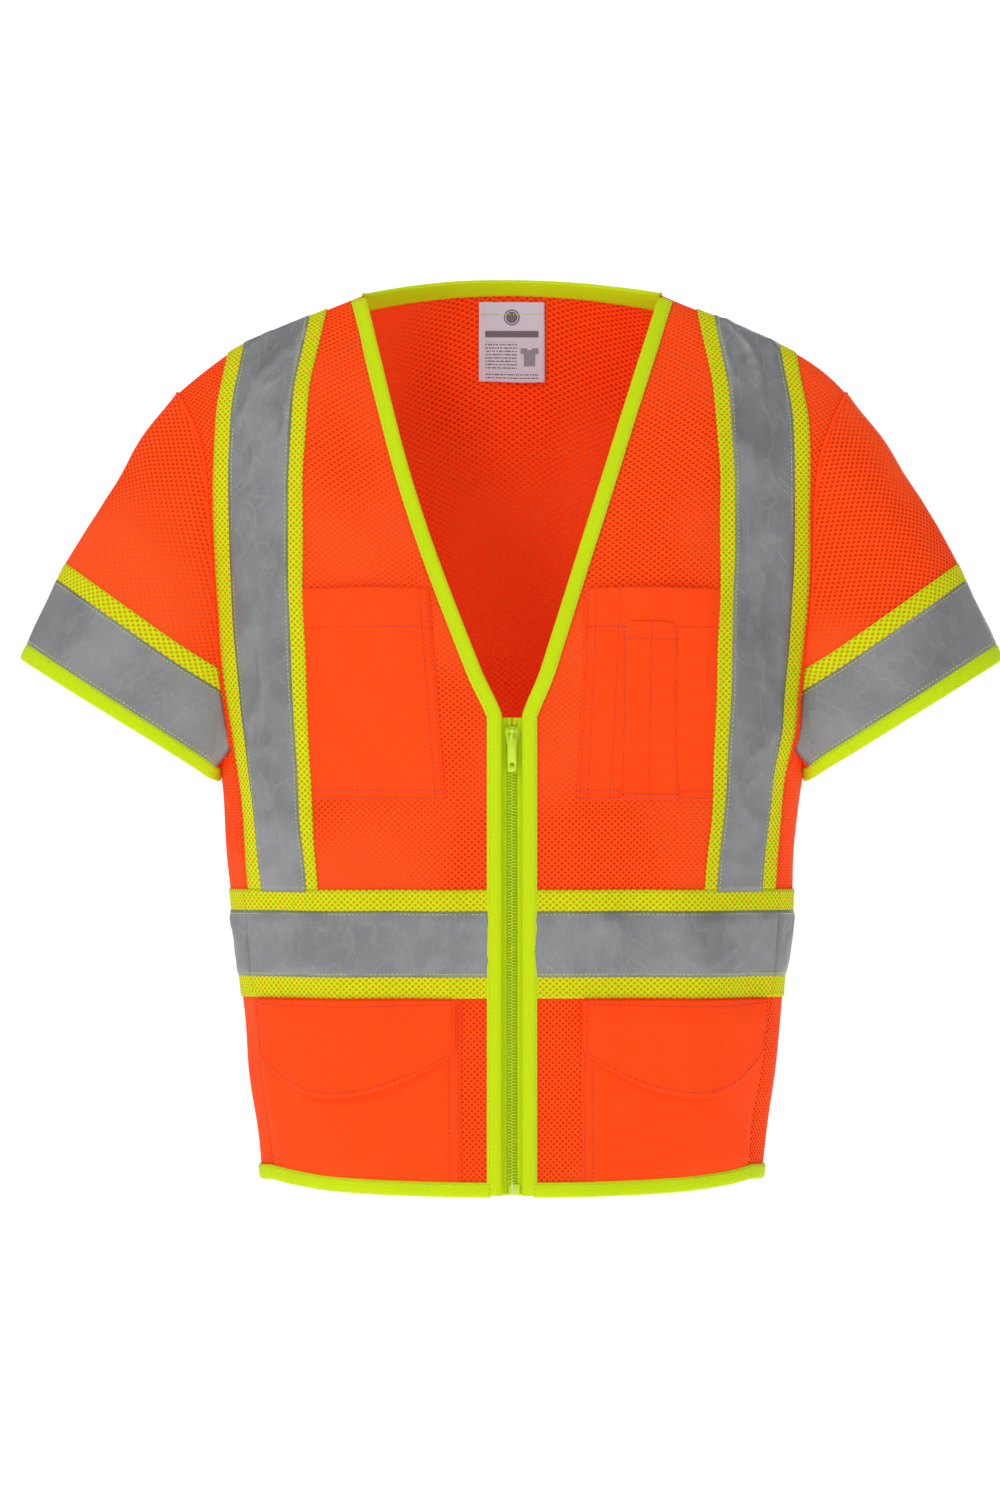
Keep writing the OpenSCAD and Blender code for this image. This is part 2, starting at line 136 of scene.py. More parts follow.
folds = {       # x and z of each end, width and height in metres; a minus sign makes a hollow
    "front": [
        (0.16, -0.14, 0.06, -0.33, 0.020, 0.0035), (0.20, -0.20, 0.09, -0.40, 0.018, -0.0032),
        (0.21, -0.33, 0.12, -0.44, 0.016, 0.0030), (0.05, -0.36, 0.04, -0.60, 0.013, 0.0028),
        (0.10, -0.42, 0.08, -0.68, 0.018, -0.0034), (0.15, -0.48, 0.13, -0.69, 0.020, 0.0040),
        (0.19, -0.42, 0.18, -0.66, 0.016, -0.0030), (0.022, -0.45, 0.024, -0.69, 0.010, -0.0020),
        (-0.16, -0.13, -0.07, -0.30, 0.019, 0.0034), (-0.20, -0.22, -0.10, -0.37, 0.017, -0.0030),
        (-0.21, -0.36, -0.11, -0.47, 0.017, 0.0032), (-0.045, -0.34, -0.05, -0.57, 0.014, 0.0026),
        (-0.09, -0.45, -0.075, -0.69, 0.017, -0.0034), (-0.14, -0.46, -0.125, -0.68, 0.021, 0.0040),
        (-0.185, -0.44, -0.17, -0.68, 0.015, -0.0028), (-0.024, -0.47, -0.022, -0.69, 0.010, -0.0020),
        (0.19, -0.07, 0.15, -0.22, 0.012, -0.0022), (-0.19, -0.07, -0.15, -0.22, 0.012, -0.0022),
    ],
    "back": [
        (0.0, -0.10, 0.01, -0.42, 0.030, -0.0040), (0.12, -0.18, 0.05, -0.36, 0.022, 0.0040),
        (-0.12, -0.16, -0.06, -0.38, 0.022, 0.0040), (0.19, -0.24, 0.08, -0.43, 0.018, -0.0035),
        (-0.19, -0.25, -0.07, -0.44, 0.018, -0.0035), (0.05, -0.45, 0.04, -0.69, 0.020, 0.0042),
        (-0.04, -0.44, -0.05, -0.69, 0.018, -0.0040), (0.13, -0.43, 0.12, -0.69, 0.022, -0.0042),
        (-0.12, -0.46, -0.13, -0.69, 0.022, 0.0042), (0.18, -0.40, 0.17, -0.68, 0.015, 0.0030),
        (-0.18, -0.42, -0.175, -0.68, 0.015, -0.0030),
    ],
    "ripple": 0.0024,       # height of the small uneven waves all over
    "swell": 0.0040,        # height of the broad ones
}


def noiseAt(points, scale, seed=0.0):
    flat = np.asarray(points, float).reshape(-1, 3) * np.asarray(scale, float) + seed
    return np.array([noise.noise(p) for p in flat.tolist()]).reshape(np.shape(points)[:-1])


def foldHeight(x, z, side):
    height = np.zeros(np.shape(x))
    for x0, z0, x1, z1, width, rise in folds[side]:
        along = np.array([x1 - x0, z1 - z0])
        t = ((x - x0) * along[0] + (z - z0) * along[1]) / (along @ along)
        away = np.hypot(x - x0 - t * along[0], z - z0 - t * along[1])
        ends = smooth((t + 0.18) / 0.36) * smooth((1.18 - t) / 0.36)
        height = height + rise * ends * np.exp(-(away / width) ** 2)
    return height


def drape(points):      # how far the hanging cloth stands off the smooth form
    x, y, z = np.moveaxis(points, -1, 0)
    onFront = smooth(0.5 - y / 0.05)
    height = onFront * foldHeight(x, z, "front") + (1 - onFront) * foldHeight(x, z, "back")
    height = height + folds["ripple"] * noiseAt(points, (26, 26, 15), 3.1)
    height = height + folds["swell"] * noiseAt(points, (9, 9, 5), 7.7)
    calm = 0.25 + 0.75 * smooth(-z / 0.12)       # the shoulders are pulled smooth
    held = onFront * smooth((vest["vPoint"] + 0.03 - z) / 0.03) * smooth((0.050 - np.abs(x)) / 0.035)
    return height * calm * (1 - held)            # the zip holds the cloth flat


def body(a, z, off, hung=True):
    a, z = np.broadcast_arrays(np.asarray(a, float), np.asarray(z, float))
    step = 0.4
    along = form(a + step, z) - form(a - step, z)
    up = form(a, z) - form(a, z - 0.003)
    normal = unit(np.cross(along, up))
    points = form(a, z)
    lift = np.asarray(off)[..., None] if np.ndim(off) else off
    lift = lift + (drape(points)[..., None] if hung else 0)
    return points + normal * lift


armholeRows = [(0, -0.076), (25, -0.112), (50, -0.165), (75, -0.225), (100, -0.275),
               (125, -0.322), (150, -0.352), (180, -0.366)]
armholePhi = np.arange(0, 181, 2.0)
armholeZ = np.interp(armholePhi, *np.array(armholeRows).T)
mirrored = np.concatenate([2 * armholeZ[0] - armholeZ[10:0:-1], armholeZ, armholeZ[-2:-12:-1]])
armholeZ = np.convolve(mirrored, np.hanning(23)[1:-1] / np.hanning(23).sum(), "valid")
seamPhi = np.interp(-vest["seamTop"], -armholeZ, armholePhi)
armholeA = frontAngle(np.interp(armholeZ, *armholeTable), armholeZ)
atSeam = armholePhi > seamPhi
armholeA[atSeam] = mix(vest["seamAngle"], 90, (armholePhi[atSeam] - seamPhi) / (180 - seamPhi))
armholeA[~atSeam] = np.minimum(armholeA[~atSeam], vest["seamAngle"])


def armhole(phi):       # phi from the shoulder point down the front, under the arm and up the back
    folded = np.where(phi > 180, 360 - phi, phi)
    a = np.interp(folded, armholePhi, armholeA)
    return np.where(phi > 180, 180 - a, a), np.interp(folded, armholePhi, armholeZ)


sleeve = {"hemX": 0.306, "hemDrop": 0.331, "halfWide": 0.089, "halfDeep": 0.060, "angle": 32,
          "puff": 0.045, "ripple": 0.0016, "swell": 0.0034}


def sleeveForm(phi, d, side=1):     # worked out on the wearer's left; the right is mirrored last
    phi, d = np.broadcast_arrays(np.asarray(phi, float), np.asarray(d, float))
    c, s = np.cos(np.radians(phi)), np.sin(np.radians(phi))
    tip = math.radians(sleeve["angle"])
    hem = np.stack([sleeve["hemX"] + sleeve["halfWide"] * c * math.cos(tip), -sleeve["halfDeep"] * s,
                    -sleeve["hemDrop"] + sleeve["halfWide"] * c * math.sin(tip)], -1)
    a, z = armhole(phi % 360)
    root = body(side * a, z, 0.0004) * np.array([side, 1, 1])
    reach = np.linalg.norm(root - hem, axis=-1)
    t = np.clip(d / reach, -1, 1)
    puff = 4 * t * (1 - t) * reach * sleeve["puff"]
    out = np.stack([0.4 * c, -s, 0.8 * c], -1)
    return mix(hem, root, t[..., None]) + puff[..., None] * out, reach


def sleeveSkin(phi, d, off, side=1):
    phi, d = np.broadcast_arrays(np.asarray(phi, float), np.asarray(d, float))
    points, reach = sleeveForm(phi, d, side)
    around = sleeveForm(phi + 2, d, side)[0] - sleeveForm(phi - 2, d, side)[0]
    up = sleeveForm(phi, np.minimum(d + 0.002, reach), side)[0] - sleeveForm(phi, d - 0.002, side)[0]
    normal = unit(np.cross(up, around))
    fade = smooth((reach - d) / 0.03)
    wave = sleeve["swell"] * noiseAt(points, (14, 14, 9), 11.3 * side)
    wave = wave + sleeve["ripple"] * noiseAt(points, (34, 34, 22), 5.9)
    return (points + normal * (off + fade * wave)[..., None]) * np.array([side, 1, 1])


print("materials")


class Wire:     # one socket in an expression: each operator adds a Math node
    def __init__(self, paint, socket):
        self.paint, self.socket = paint, socket

    def calc(self, operation, *others, settings=None):
        return self.paint.node("ShaderNodeMath", {"operation": operation, **(settings or {})},
                               [self, *others])

    def __add__(self, other): return self.calc("ADD", other)
    def __sub__(self, other): return self.calc("SUBTRACT", other)
    def __mul__(self, other): return self.calc("MULTIPLY", other)
    def __truediv__(self, other): return self.calc("DIVIDE", other)
    def __pow__(self, other): return self.calc("POWER", other)
    def __neg__(self): return self.calc("MULTIPLY", -1)
    def __radd__(self, other): return self + other
    def __rsub__(self, other): return -self + other
    def __rmul__(self, other): return self * other
    def sin(self): return self.calc("SINE")
    def abs(self): return self.calc("ABSOLUTE")
    def fract(self): return self.calc("FRACT")
    def floor(self): return self.calc("FLOOR")
    def least(self, other): return self.calc("MINIMUM", other)
    def most(self, other): return self.calc("MAXIMUM", other)
    def clamp(self): return self.calc("ADD", 0.0, settings={"use_clamp": True})
    def rise(self, low, high): return ((self - low) / (high - low)).clamp()


class Paint:    # one material and its nodes
    def __init__(self, name, **fixed):
        self.material = bpy.data.materials.new(name)
        self.material.use_nodes = True
        self.tree = self.material.node_tree
        self.shader = self.tree.nodes["Principled BSDF"]
        for socket, value in fixed.items():
            self.shader.inputs[socket.replace("_", " ")].default_value = value

    def node(self, kind, settings=None, inputs=(), output=0):
        made = self.tree.nodes.new(kind)
        for key, value in (settings or {}).items():
            setattr(made, key, value)
        pairs = inputs.items() if isinstance(inputs, dict) else enumerate(inputs)
        for key, value in pairs:
            if isinstance(value, Wire):
                self.tree.links.new(value.socket, made.inputs[key])
            else:
                made.inputs[key].default_value = value
        return Wire(self, made.outputs[output])

    def feed(self, socket, value):
        self.tree.links.new(value.socket, self.shader.inputs[socket])

    def colourWithGlow(self, colour):      # base colour, and the same colour given off as a painted glow that makes the cloth brighter than the lamps alone
        self.feed("Base Color", colour)
        self.feed("Emission Color", colour)
        self.shader.inputs["Emission Strength"].default_value = paintedGlow

    def cloth(self):    # place on the cloth, in metres
        both = self.node("ShaderNodeUVMap", {"uv_map": "cloth"})
        split = self.node("ShaderNodeSeparateXYZ", None, [both])
        return split, Wire(self, split.socket.node.outputs[1]), both

    def noise(self, scale, detail=2.0, where=None, roughness=0.5):
        inputs = {"Scale": scale, "Detail": detail, "Roughness": roughness}
        inputs["Vector"] = where or self.node("ShaderNodeTexCoord", output=3)
        return self.node("ShaderNodeTexNoise", None, inputs)

    def stretched(self, where, scale):
        return self.node("ShaderNodeVectorMath", {"operation": "MULTIPLY"}, [where, scale])

    def colour(self, factor, first, second):
        first, second = [c if isinstance(c, Wire) else (*c, 1) for c in (first, second)]
        return self.node("ShaderNodeMix", {"data_type": "RGBA"}, {0: factor, 6: first, 7: second}, 2)

    def bump(self, height, distance, strength=1.0):
        inputs = {"Height": height, "Distance": distance, "Strength": strength}
        self.feed("Normal", self.node("ShaderNodeBump", None, inputs))


def holes(u, v, pitch, radius, soft=0.25):      # staggered round holes: 1 inside a hole
    def near(shift):
        x = (u / pitch + shift).fract() - 0.5
        y = (v / (pitch * 0.9) + shift).fract() - 0.5
        return (x * x + y * y) ** 0.5
    size = radius / pitch
    return 1 - near(0.0).least(near(0.5)).rise(size * (1 - soft), size * (1 + soft))


shades = {      # linear colours
    # the deep orange is both the orange thread's colour and the painted shade in the mesh holes; the pale
    # orange is painted light seen through the holes
    "orange": (0.98, 0.068, 0.004), "orangeDeepAndHoleShade": (0.50, 0.020, 0.002),
    "orangeWoven": (0.95, 0.060, 0.004), "holeLight": (1.0, 0.20, 0.08),
    # the lime knit's hole colour is the orange cloth beneath, painted darker as shade
    "lime": (0.50, 0.67, 0.004), "limeHoleShadedOrange": (0.62, 0.16, 0.003),
    # the lighter grey is a painted glint on the tape's beads
    "silver": (0.205, 0.208, 0.215), "beadGlint": (0.42, 0.43, 0.44),
    "label": (0.60, 0.66, 0.76), "ink": (0.05, 0.05, 0.055),
}
# strength of the painted glow that the hi-vis cloth gives off
paintedGlow = 0.14
knit = {"pitch": 0.0052, "radius": 0.00115, "rib": 0.0011}      # metres


def knitMesh(name, base, holeShade, pale):
    paint = Paint(name, Roughness=0.82, Specular_IOR_Level=0.10)
    u, v = paint.cloth()[:2]
    hole = holes(u, v, knit["pitch"], knit["radius"])
    ribs = (v * (math.tau / knit["rib"])).sin() * 0.5 + 0.5
    wales = (u * (math.tau / (knit["rib"] * 0.8))).sin() * 0.5 + 0.5
    cloud = paint.noise(14, 3)
    tint = paint.colour((cloud - 0.35) * 0.30, base, [c * 0.80 for c in base])
    tint = paint.colour(ribs * wales * 0.16, tint, [c * 0.62 for c in base])
    # the holes are painted: darker as painted shade, and in patches pale orange as painted light coming
    # through
    holeShadeAndLight = paint.colour(paint.noise(6, 1).rise(0.46, 0.62) * pale, holeShade, shades["holeLight"])
    knitWithPaintedHoles = paint.colour(hole * 0.85, tint, holeShadeAndLight)
    paint.colourWithGlow(knitWithPaintedHoles)
    paint.feed("Roughness", 0.76 + 0.14 * paint.noise(60, 2))
    paint.bump(ribs * 0.16 + wales * 0.12 + (1 - hole) * 0.9, 0.0006, 0.9)
    return paint.material


def woven(name, base, rib, yarn, grain=0.35):      # plain weave with a fine level rib
    paint = Paint(name, Roughness=0.78, Specular_IOR_Level=0.12)
    u, v, place = paint.cloth()
    ribs = (v * (math.tau / rib)).sin() * 0.5 + 0.5
    shift = (v / rib).fract().rise(0.45, 0.55) * math.pi
    picks = (u * (math.tau / yarn) + shift).sin() * 0.5 + 0.5
    cloud = paint.noise(11, 3)
    streak = paint.noise(1, 3, paint.stretched(place, (60, 900, 1)))
    tint = paint.colour((cloud - 0.35) * grain, base, [c * 0.78 for c in base])
    # painted shade: the grooves between the ribs are darker
    tint = paint.colour((1 - ribs) * 0.24, tint, [c * 0.55 for c in base])
    tint = paint.colour((streak - 0.4) * 0.3, tint, [min(1, c * 1.15) for c in base])
    paint.colourWithGlow(tint)
    paint.feed("Roughness", 0.70 + 0.18 * paint.noise(45, 2))
    paint.bump(ribs * 0.7 + picks * 0.3, 0.0003, 0.8)
    return paint.material


def silverCloth():      # glass-bead tape: soft sheen, hairline creases painted lighter as a highlight, bead specks painted lighter as glints, and pressed cross-ribs
    paint = Paint("silverTape", Metallic=0.30, Specular_IOR_Level=0.5)
    u, v, place = paint.cloth()
    wander = paint.node("ShaderNodeTexNoise", None, {"Vector": place, "Scale": 25.0}, 1)
    warp = paint.stretched(wander, (0.03, 0.03, 0))
    bent = paint.node("ShaderNodeVectorMath", {"operation": "ADD"}, [place, warp])
    ridge = (paint.noise(1, 2, paint.stretched(bent, (46, 20, 1))) - 0.5).abs()
    creaseAndHighlight = 1 - ridge.rise(0.0, 0.035)
    cloud = paint.noise(24, 4)
    beadsAndGlints = paint.noise(900, 1)
    weave = ((u * (math.tau / 0.0007)).sin() * (v * (math.tau / 0.0007)).sin()) * 0.5 + 0.5
    tint = paint.colour(cloud.rise(0.35, 0.70), [c * 0.86 for c in shades["silver"]],
                        [c * 1.14 for c in shades["silver"]])
    # painted highlight along the creases
    tint = paint.colour(creaseAndHighlight * 0.22, tint, [c * 1.5 for c in shades["silver"]])
    # painted glints: specks of the beads painted lighter
    tint = paint.colour(beadsAndGlints.rise(0.55, 0.75) * 0.25, tint, shades["beadGlint"])
    paint.feed("Base Color", tint)
    paint.feed("Roughness", 0.40 + 0.16 * cloud + 0.10 * creaseAndHighlight)
    paint.bump(creaseAndHighlight * 0.4 + cloud * 0.8 + weave * 0.10 + beadsAndGlints * 0.08, 0.0007, 0.6)
    return paint.material


def thread(name, base):
    paint = Paint(name, Roughness=0.6, Sheen_Weight=0.2)
    where = paint.node("ShaderNodeTexCoord", output=3)
    inputs = {"Vector": where, "Scale": 900.0}
    twist = paint.node("ShaderNodeTexWave", {"bands_direction": "DIAGONAL"}, inputs)
    paint.feed("Base Color", paint.colour(twist * 0.4, base, [c * 0.6 for c in base]))
    return paint.material


def moulded(name, base):        # lime zip plastic
    paint = Paint(name, Specular_IOR_Level=0.45, Coat_Weight=0.15)
    cloud = paint.noise(120, 2)
    scuff = paint.noise(600, 3).rise(0.58, 0.72)
    paint.feed("Base Color", paint.colour(cloud * 0.25, base, [c * 0.8 for c in base]))
    paint.feed("Roughness", 0.34 + 0.2 * scuff)
    paint.bump(scuff * 0.5 + cloud * 0.5, 0.00006, 0.5)
    return paint.material


def fuzzy(name, base):          # hook or loop patch
    paint = Paint(name, Roughness=0.95, Sheen_Weight=0.4)
    pile = paint.noise(1600, 2)
    # painted shade: the pile is darker where it sits lower
    paint.feed("Base Color", paint.colour(pile, [c * 0.6 for c in base], base))
    paint.bump(pile, 0.0006, 1.0)
    return paint.material


orangeMesh = knitMesh("orangeMesh", shades["orange"], shades["orangeDeepAndHoleShade"], 0.4)
limeMesh = knitMesh("limeMesh", shades["lime"], shades["limeHoleShadedOrange"], 0.0)
orangeWoven = woven("orangeWoven", shades["orangeWoven"], 0.0014, 0.0009)
limeKnit = woven("limeKnit", shades["lime"], 0.0010, 0.0010, 0.25)
zipWeave = woven("zipWeave", shades["lime"], 0.0008, 0.0016, 0.2)
silverTape = silverCloth()
limeThread = thread("limeThread", shades["lime"])
orangeThread = thread("orangeThread", shades["orangeDeepAndHoleShade"])
zipPlastic = moulded("zipPlastic", shades["lime"])
hookPile = fuzzy("hookPile", shades["orange"])


print("cloth pieces")

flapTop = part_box("pocket_flap_left")[1].z
waistLow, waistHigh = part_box("waist_band_left")[0].z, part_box("waist_band_left")[1].z
tapeLow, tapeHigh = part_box("waist_tape_left")[0].z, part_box("waist_tape_left")[1].z
sideName = {1: "left", -1: "right"}


def hang(piece, owner, slot, *nodes):      # hides the CAD parts a piece replaces and parents the piece to its body, except front pieces and those given a bending spec, which keep their place with the transform baked in
    if isinstance(owner, tuple):
        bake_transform(piece)
    elif owner.startswith("front"):
        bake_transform(piece)
    else:
        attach(piece, owner)
    if nodes:
        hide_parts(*nodes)
    return piece


def meshObject(name, points, faces, material, uvs=None):
    mesh = bpy.data.meshes.new(name)
    mesh.from_pydata(np.asarray(points, float).reshape(-1, 3).tolist(), [], faces)
    mesh.polygons.foreach_set("use_smooth", [True] * len(mesh.polygons))
    if uvs is not None:
        layer = mesh.uv_layers.new(name="cloth")
        order = np.empty(len(mesh.loops), int)
        mesh.loops.foreach_get("vertex_index", order)
        layer.data.foreach_set("uv", np.asarray(uvs, float).reshape(-1, 2)[order].ravel())
    mesh.materials.append(material)
    mesh.update()
    piece = bpy.data.objects.new(name, mesh)
    bpy.context.scene.collection.objects.link(piece)
    return piece


def outward(piece):     # turns every face of a closed piece outwards
    work = bmesh.new()
    work.from_mesh(piece.data)
    bmesh.ops.recalc_face_normals(work, faces=work.faces)
    work.to_mesh(piece.data)
    work.free()
    return piece


def gridFaces(rows, columns, flip=False, closed=False):
    faces = []
    for i in range(rows - 1):
        for j in range(columns if closed else columns - 1):
            k = (j + 1) % columns
            face = [i * columns + j, i * columns + k, (i + 1) * columns + k, (i + 1) * columns + j]
            faces.append(face[::-1] if flip else face)
    return faces


def ringFaces(rings, count, closed=False):      # round a tube of rings
    faces = []
    for i in range(rings if closed else rings - 1):
        here, after = i * count, (i + 1) % rings * count
        for j in range(count):
            k = (j + 1) % count
            faces.append([here + j, here + k, after + k, after + j])
    return faces


def capped(rings, count):       # a tube with both ends shut
    return ringFaces(rings, count) + [list(range(count)), [(rings - 1) * count + j for j in range(count)]]


def lengths(points, axis):      # distance run along a row or a column
    step = np.linalg.norm(np.diff(points, axis=axis), axis=-1)
    pad = [(0, 0), (0, 0)]
    pad[axis] = (1, 0)
    return np.cumsum(np.pad(step, pad), axis=axis)


def gridArea(points):
    across, up = points[:-1, 1:] - points[:-1, :-1], points[1:, :-1] - points[:-1, :-1]
    return float(np.linalg.norm(np.cross(across, up), axis=-1).sum())


def sheetPiece(name, points, thick, material, flip=False, closed=False, uvs=None):
    rows, columns = points.shape[:2]
    if uvs is None:
        uvs = np.stack([lengths(points, 1), lengths(points, 0)], -1)
    if closed:      # a doubled column keeps the pattern whole where the tube closes
        points = np.concatenate([points, points[:, :1]], 1)
        uvs = np.concatenate([uvs, 2 * uvs[:, -1:] - uvs[:, -2:-1]], 1)
        columns += 1
    piece = meshObject(name, points, gridFaces(rows, columns, flip), material, uvs)
    if closed:
        weld = piece.modifiers.new("close", "WELD")
        weld.merge_threshold = 0.00002
    solid = piece.modifiers.new("thickness", "SOLIDIFY")
    solid.thickness = thick
    solid.offset = -1
    width, length = lengths(points, 1)[:, -1].max(), lengths(points, 0)[-1].max()
    min(gridArea(points), float(width * length))
    return piece


def uAcross(a):         # arc length round the body from the front middle, at a middling height
    ring = np.radians(np.arange(-360, 361, 1.0))
    step = np.hypot(0.222 * np.cos(ring), 0.124 * np.sin(ring)) * math.radians(1)
    run = np.cumsum(step)
    return np.interp(a, np.degrees(ring), run - run[360])


def bodyUv(points, a):
    return np.stack([uAcross(a), points[0, :, 2] + lengths(points, 0)], -1)


def innerEdge(z, side=1):       # edge of the zip and the V neck; the wearer's right one bows outwards
    share = np.clip(1 + z / -vest["vPoint"], 0, 1)
    slope = (vest["neckHalf"] - vest["zipEdge"] - 0.003) * share
    slope = slope + (0.009 * np.sin(math.pi * share) ** 1.4 if side < 0 else 0)
    neck = vest["zipEdge"] + 0.003 * smooth(share * 9) + slope
    return np.where(z < vest["vPoint"], vest["zipEdge"], neck)


def hemZ(share):        # the hem rises a little towards the side seam
    return vest["hem"] + (vest["sideHem"] - vest["hem"]) * share ** 2


def easeRows(count, power=1.7):
    return 1 - (1 - np.linspace(0, 1, count)) ** power


def seamAngleAt(z):
    onArmhole = np.interp(z, armholeZ[::-1][np.argsort(armholeZ[::-1])], armholeA[::-1])
    return np.where(z < vest["seamTop"], vest["seamAngle"], np.minimum(onArmhole, vest["seamAngle"]))


frontPanel = {"columns": 84, "rows": 210, "lift": 0.0004, "thick": 0.0008}


def frontPlace(u, s, side=1):
    corner = vest["shoulderHalf"] - 0.0004
    xTop = mix(vest["neckHalf"], corner, u)
    zTop = shoulderZ(xTop)
    zIn, zOut = mix(vest["hem"], zTop[..., :1] * 0, s), mix(vest["sideHem"], shoulderZ(corner), s)
    low = frontAngle(innerEdge(zIn, side), zIn)
    straight = mix(frontAngle(vest["neckHalf"], 0.0), seamAngleAt(shoulderZ(corner)), u)
    topFix = frontAngle(xTop, zTop) - straight
    a = mix(low, seamAngleAt(zOut), u) + s ** 5 * topFix
    return a, mix(hemZ(u), zTop, s)


def makeFrontPanel(side):
    u, s = np.meshgrid(np.linspace(0, 1, frontPanel["columns"]), easeRows(frontPanel["rows"]))
    a, z = frontPlace(u, s, side)
    points = body(side * a, z, frontPanel["lift"])
    name = f"frontPanel.{sideName[side]}"
    uvs = bodyUv(points, side * a)
    piece = sheetPiece(name, points, frontPanel["thick"], orangeMesh, side < 0, uvs=uvs)
    hang(piece, f"front_{sideName[side]}", "orange_mesh", f"front_panel_{sideName[side]}")


backPanel = {"columns": 190, "rows": 200, "lift": 0.0004, "thick": 0.0008, "neckShare": 0.45,
             "armStart": 0.40, "armEnd": 0.54}      # shares of its rows where the armhole starts and ends


def easeLate(t):
    return 1 - (1 - t) ** 1.8


def backPlace(u, t):        # u from the wearer's left side seam round to the right one
    v = 1 - np.abs(2 * u - 1)
    side, arm = vest["sideHem"], vest["seamTop"]
    corner = vest["shoulderHalf"] - 0.0004
    start, end = backPanel["armStart"], backPanel["armEnd"]
    low, notch = t <= start, (t > start) & (t <= end)
    inNotch = (t - start) / (end - start)
    late = np.clip((t - end) / (1 - end), 0, 1)
    zUp = mix(arm, shoulderZ(corner), easeLate(late))
    aNotch, zNotch = armhole(mix(seamPhi, 360 - seamPhi, np.clip(inNotch, 0, 1)))
    zEdge = np.where(low, mix(side, arm, t / start), np.where(notch, zNotch, zUp))
    aEdge = np.where(low, vest["seamAngle"], np.where(notch, aNotch, 180 - seamAngleAt(zUp)))
    share = 1 - backPanel["neckShare"]
    xTop = np.where(v < share, mix(corner, vest["neckHalf"], v / share),
                    mix(vest["neckHalf"], 0, (v - share) / (1 - share)))
    neckZ = vest["backNeckRise"] * (1 - (xTop / vest["neckHalf"]) ** 2)
    zTop = np.where(v < share, shoulderZ(xTop), neckZ)
    climb = np.where(notch, 0.50 + inNotch * 0.06, 0.56 + 0.44 * easeLate(late))
    zMid = mix(side, zTop, np.where(low, t / start * 0.50, climb))
    z = mix(zEdge, zMid, smooth(v / 0.30))
    z = mix(z, mix(arm, zTop, easeLate(late)), np.where(t > end, smooth(late * 2), 0))
    topFix = 180 - frontAngle(xTop, zTop) - mix(180 - seamAngleAt(shoulderZ(corner)), 180, v)
    a = mix(aEdge, 180, v) + np.where(t > end, easeLate(late), 0) ** 4 * topFix
    return np.where(u < 0.5, a, 360 - a), z


def makeBackPanel():
    u, t = np.meshgrid(np.linspace(0, 1, backPanel["columns"]), np.linspace(0, 1, backPanel["rows"]))
    a, z = backPlace(u, t)
    points = body(a, z, backPanel["lift"])
    piece = sheetPiece("backPanel", points, backPanel["thick"], orangeMesh, uvs=bodyUv(points, a))
    hang(piece, "shell", "orange_mesh", "back_panel")


allowance = {"under": 6.0, "over": 1.2, "lift": -0.0009, "thick": 0.0006}


def makeSideAllowance(side):        # the back's seam edge, seen once the vest is opened
    seam = vest["seamAngle"]
    a, z = np.meshgrid(np.linspace(seam - allowance["under"], seam + allowance["over"], 14),
                       np.linspace(vest["sideHem"] + 0.001, vest["seamTop"], 90))
    points = body(side * a, z, allowance["lift"])
    piece = sheetPiece(f"sideAllowance.{sideName[side]}", points, allowance["thick"], orangeMesh, side < 0,
                       uvs=bodyUv(points, side * a))
    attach(piece, "shell")


for side in (1, -1):
    makeFrontPanel(side)
    makeSideAllowance(side)
makeBackPanel()


sleeveCloth = {"columns": 150, "rows": 90, "thick": 0.0008}


def makeSleeve(side):
    phi, t = np.meshgrid(np.linspace(0, 360, sleeveCloth["columns"], endpoint=False),
                         np.linspace(0, 1, sleeveCloth["rows"]))
    reach = sleeveForm(phi, 0 * phi, side)[1]
    points = sleeveSkin(phi, t * reach, 0.0002, side)
    uvs = np.stack([np.radians(phi) * 0.082, t * reach], -1)
    name = f"sleeve.{sideName[side]}"
    piece = sheetPiece(name, points, sleeveCloth["thick"], orangeMesh, side < 0, closed=True, uvs=uvs)
    hang(piece, "shell", "orange_mesh", f"sleeve_{sideName[side]}")


for side in (1, -1):
    makeSleeve(side)


def welt(name, points, normals, radius, material, closed=False):      # a rolled seam
    following = np.roll(points, -1, 0) - np.roll(points, 1, 0)
    if not closed:
        following = np.gradient(points, axis=0)
    aside, normals = unit(np.cross(following, normals)), unit(normals)
    angle = np.arange(8) * math.tau / 8
    wide, high = np.cos(angle)[:, None], np.sin(angle)[:, None]
    ring = points[:, None] + radius * (aside[:, None] * wide + normals[:, None] * 0.8 * high)
    faces = ringFaces(len(points), 8, True) if closed else capped(len(points), 8)
    run = lengths(points[None], 1)[0]
    uvs = np.stack([run[:, None] + 0 * angle, 0.0003 * np.arange(8) + 0 * run[:, None]], -1)
    piece = outward(meshObject(name, ring, faces, material, uvs))
    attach(piece, "shell")
    return piece


def makeWelts(side):
    phi = np.linspace(0, 360, 240, endpoint=False)
    a, z = armhole(phi)
    points = body(side * a, z, 0.0009)
    normals = body(side * a, z, 0.0019) - points
    welt(f"armholeWelt.{sideName[side]}", points, normals, 0.0016, orangeWoven, True)
    x = np.linspace(vest["neckHalf"] + 0.001, vest["shoulderHalf"] - 0.0005, 90)
    a, z = frontAngle(x, shoulderZ(x)), shoulderZ(x)
    points = body(side * a, z, 0.0002) - np.array([0, 0, 0.0006])
    upright = np.array([0, 0, 1.0]) + 0 * points
    welt(f"shoulderWelt.{sideName[side]}", points, upright, 0.0010, orangeWoven)


for side in (1, -1):
    makeWelts(side)

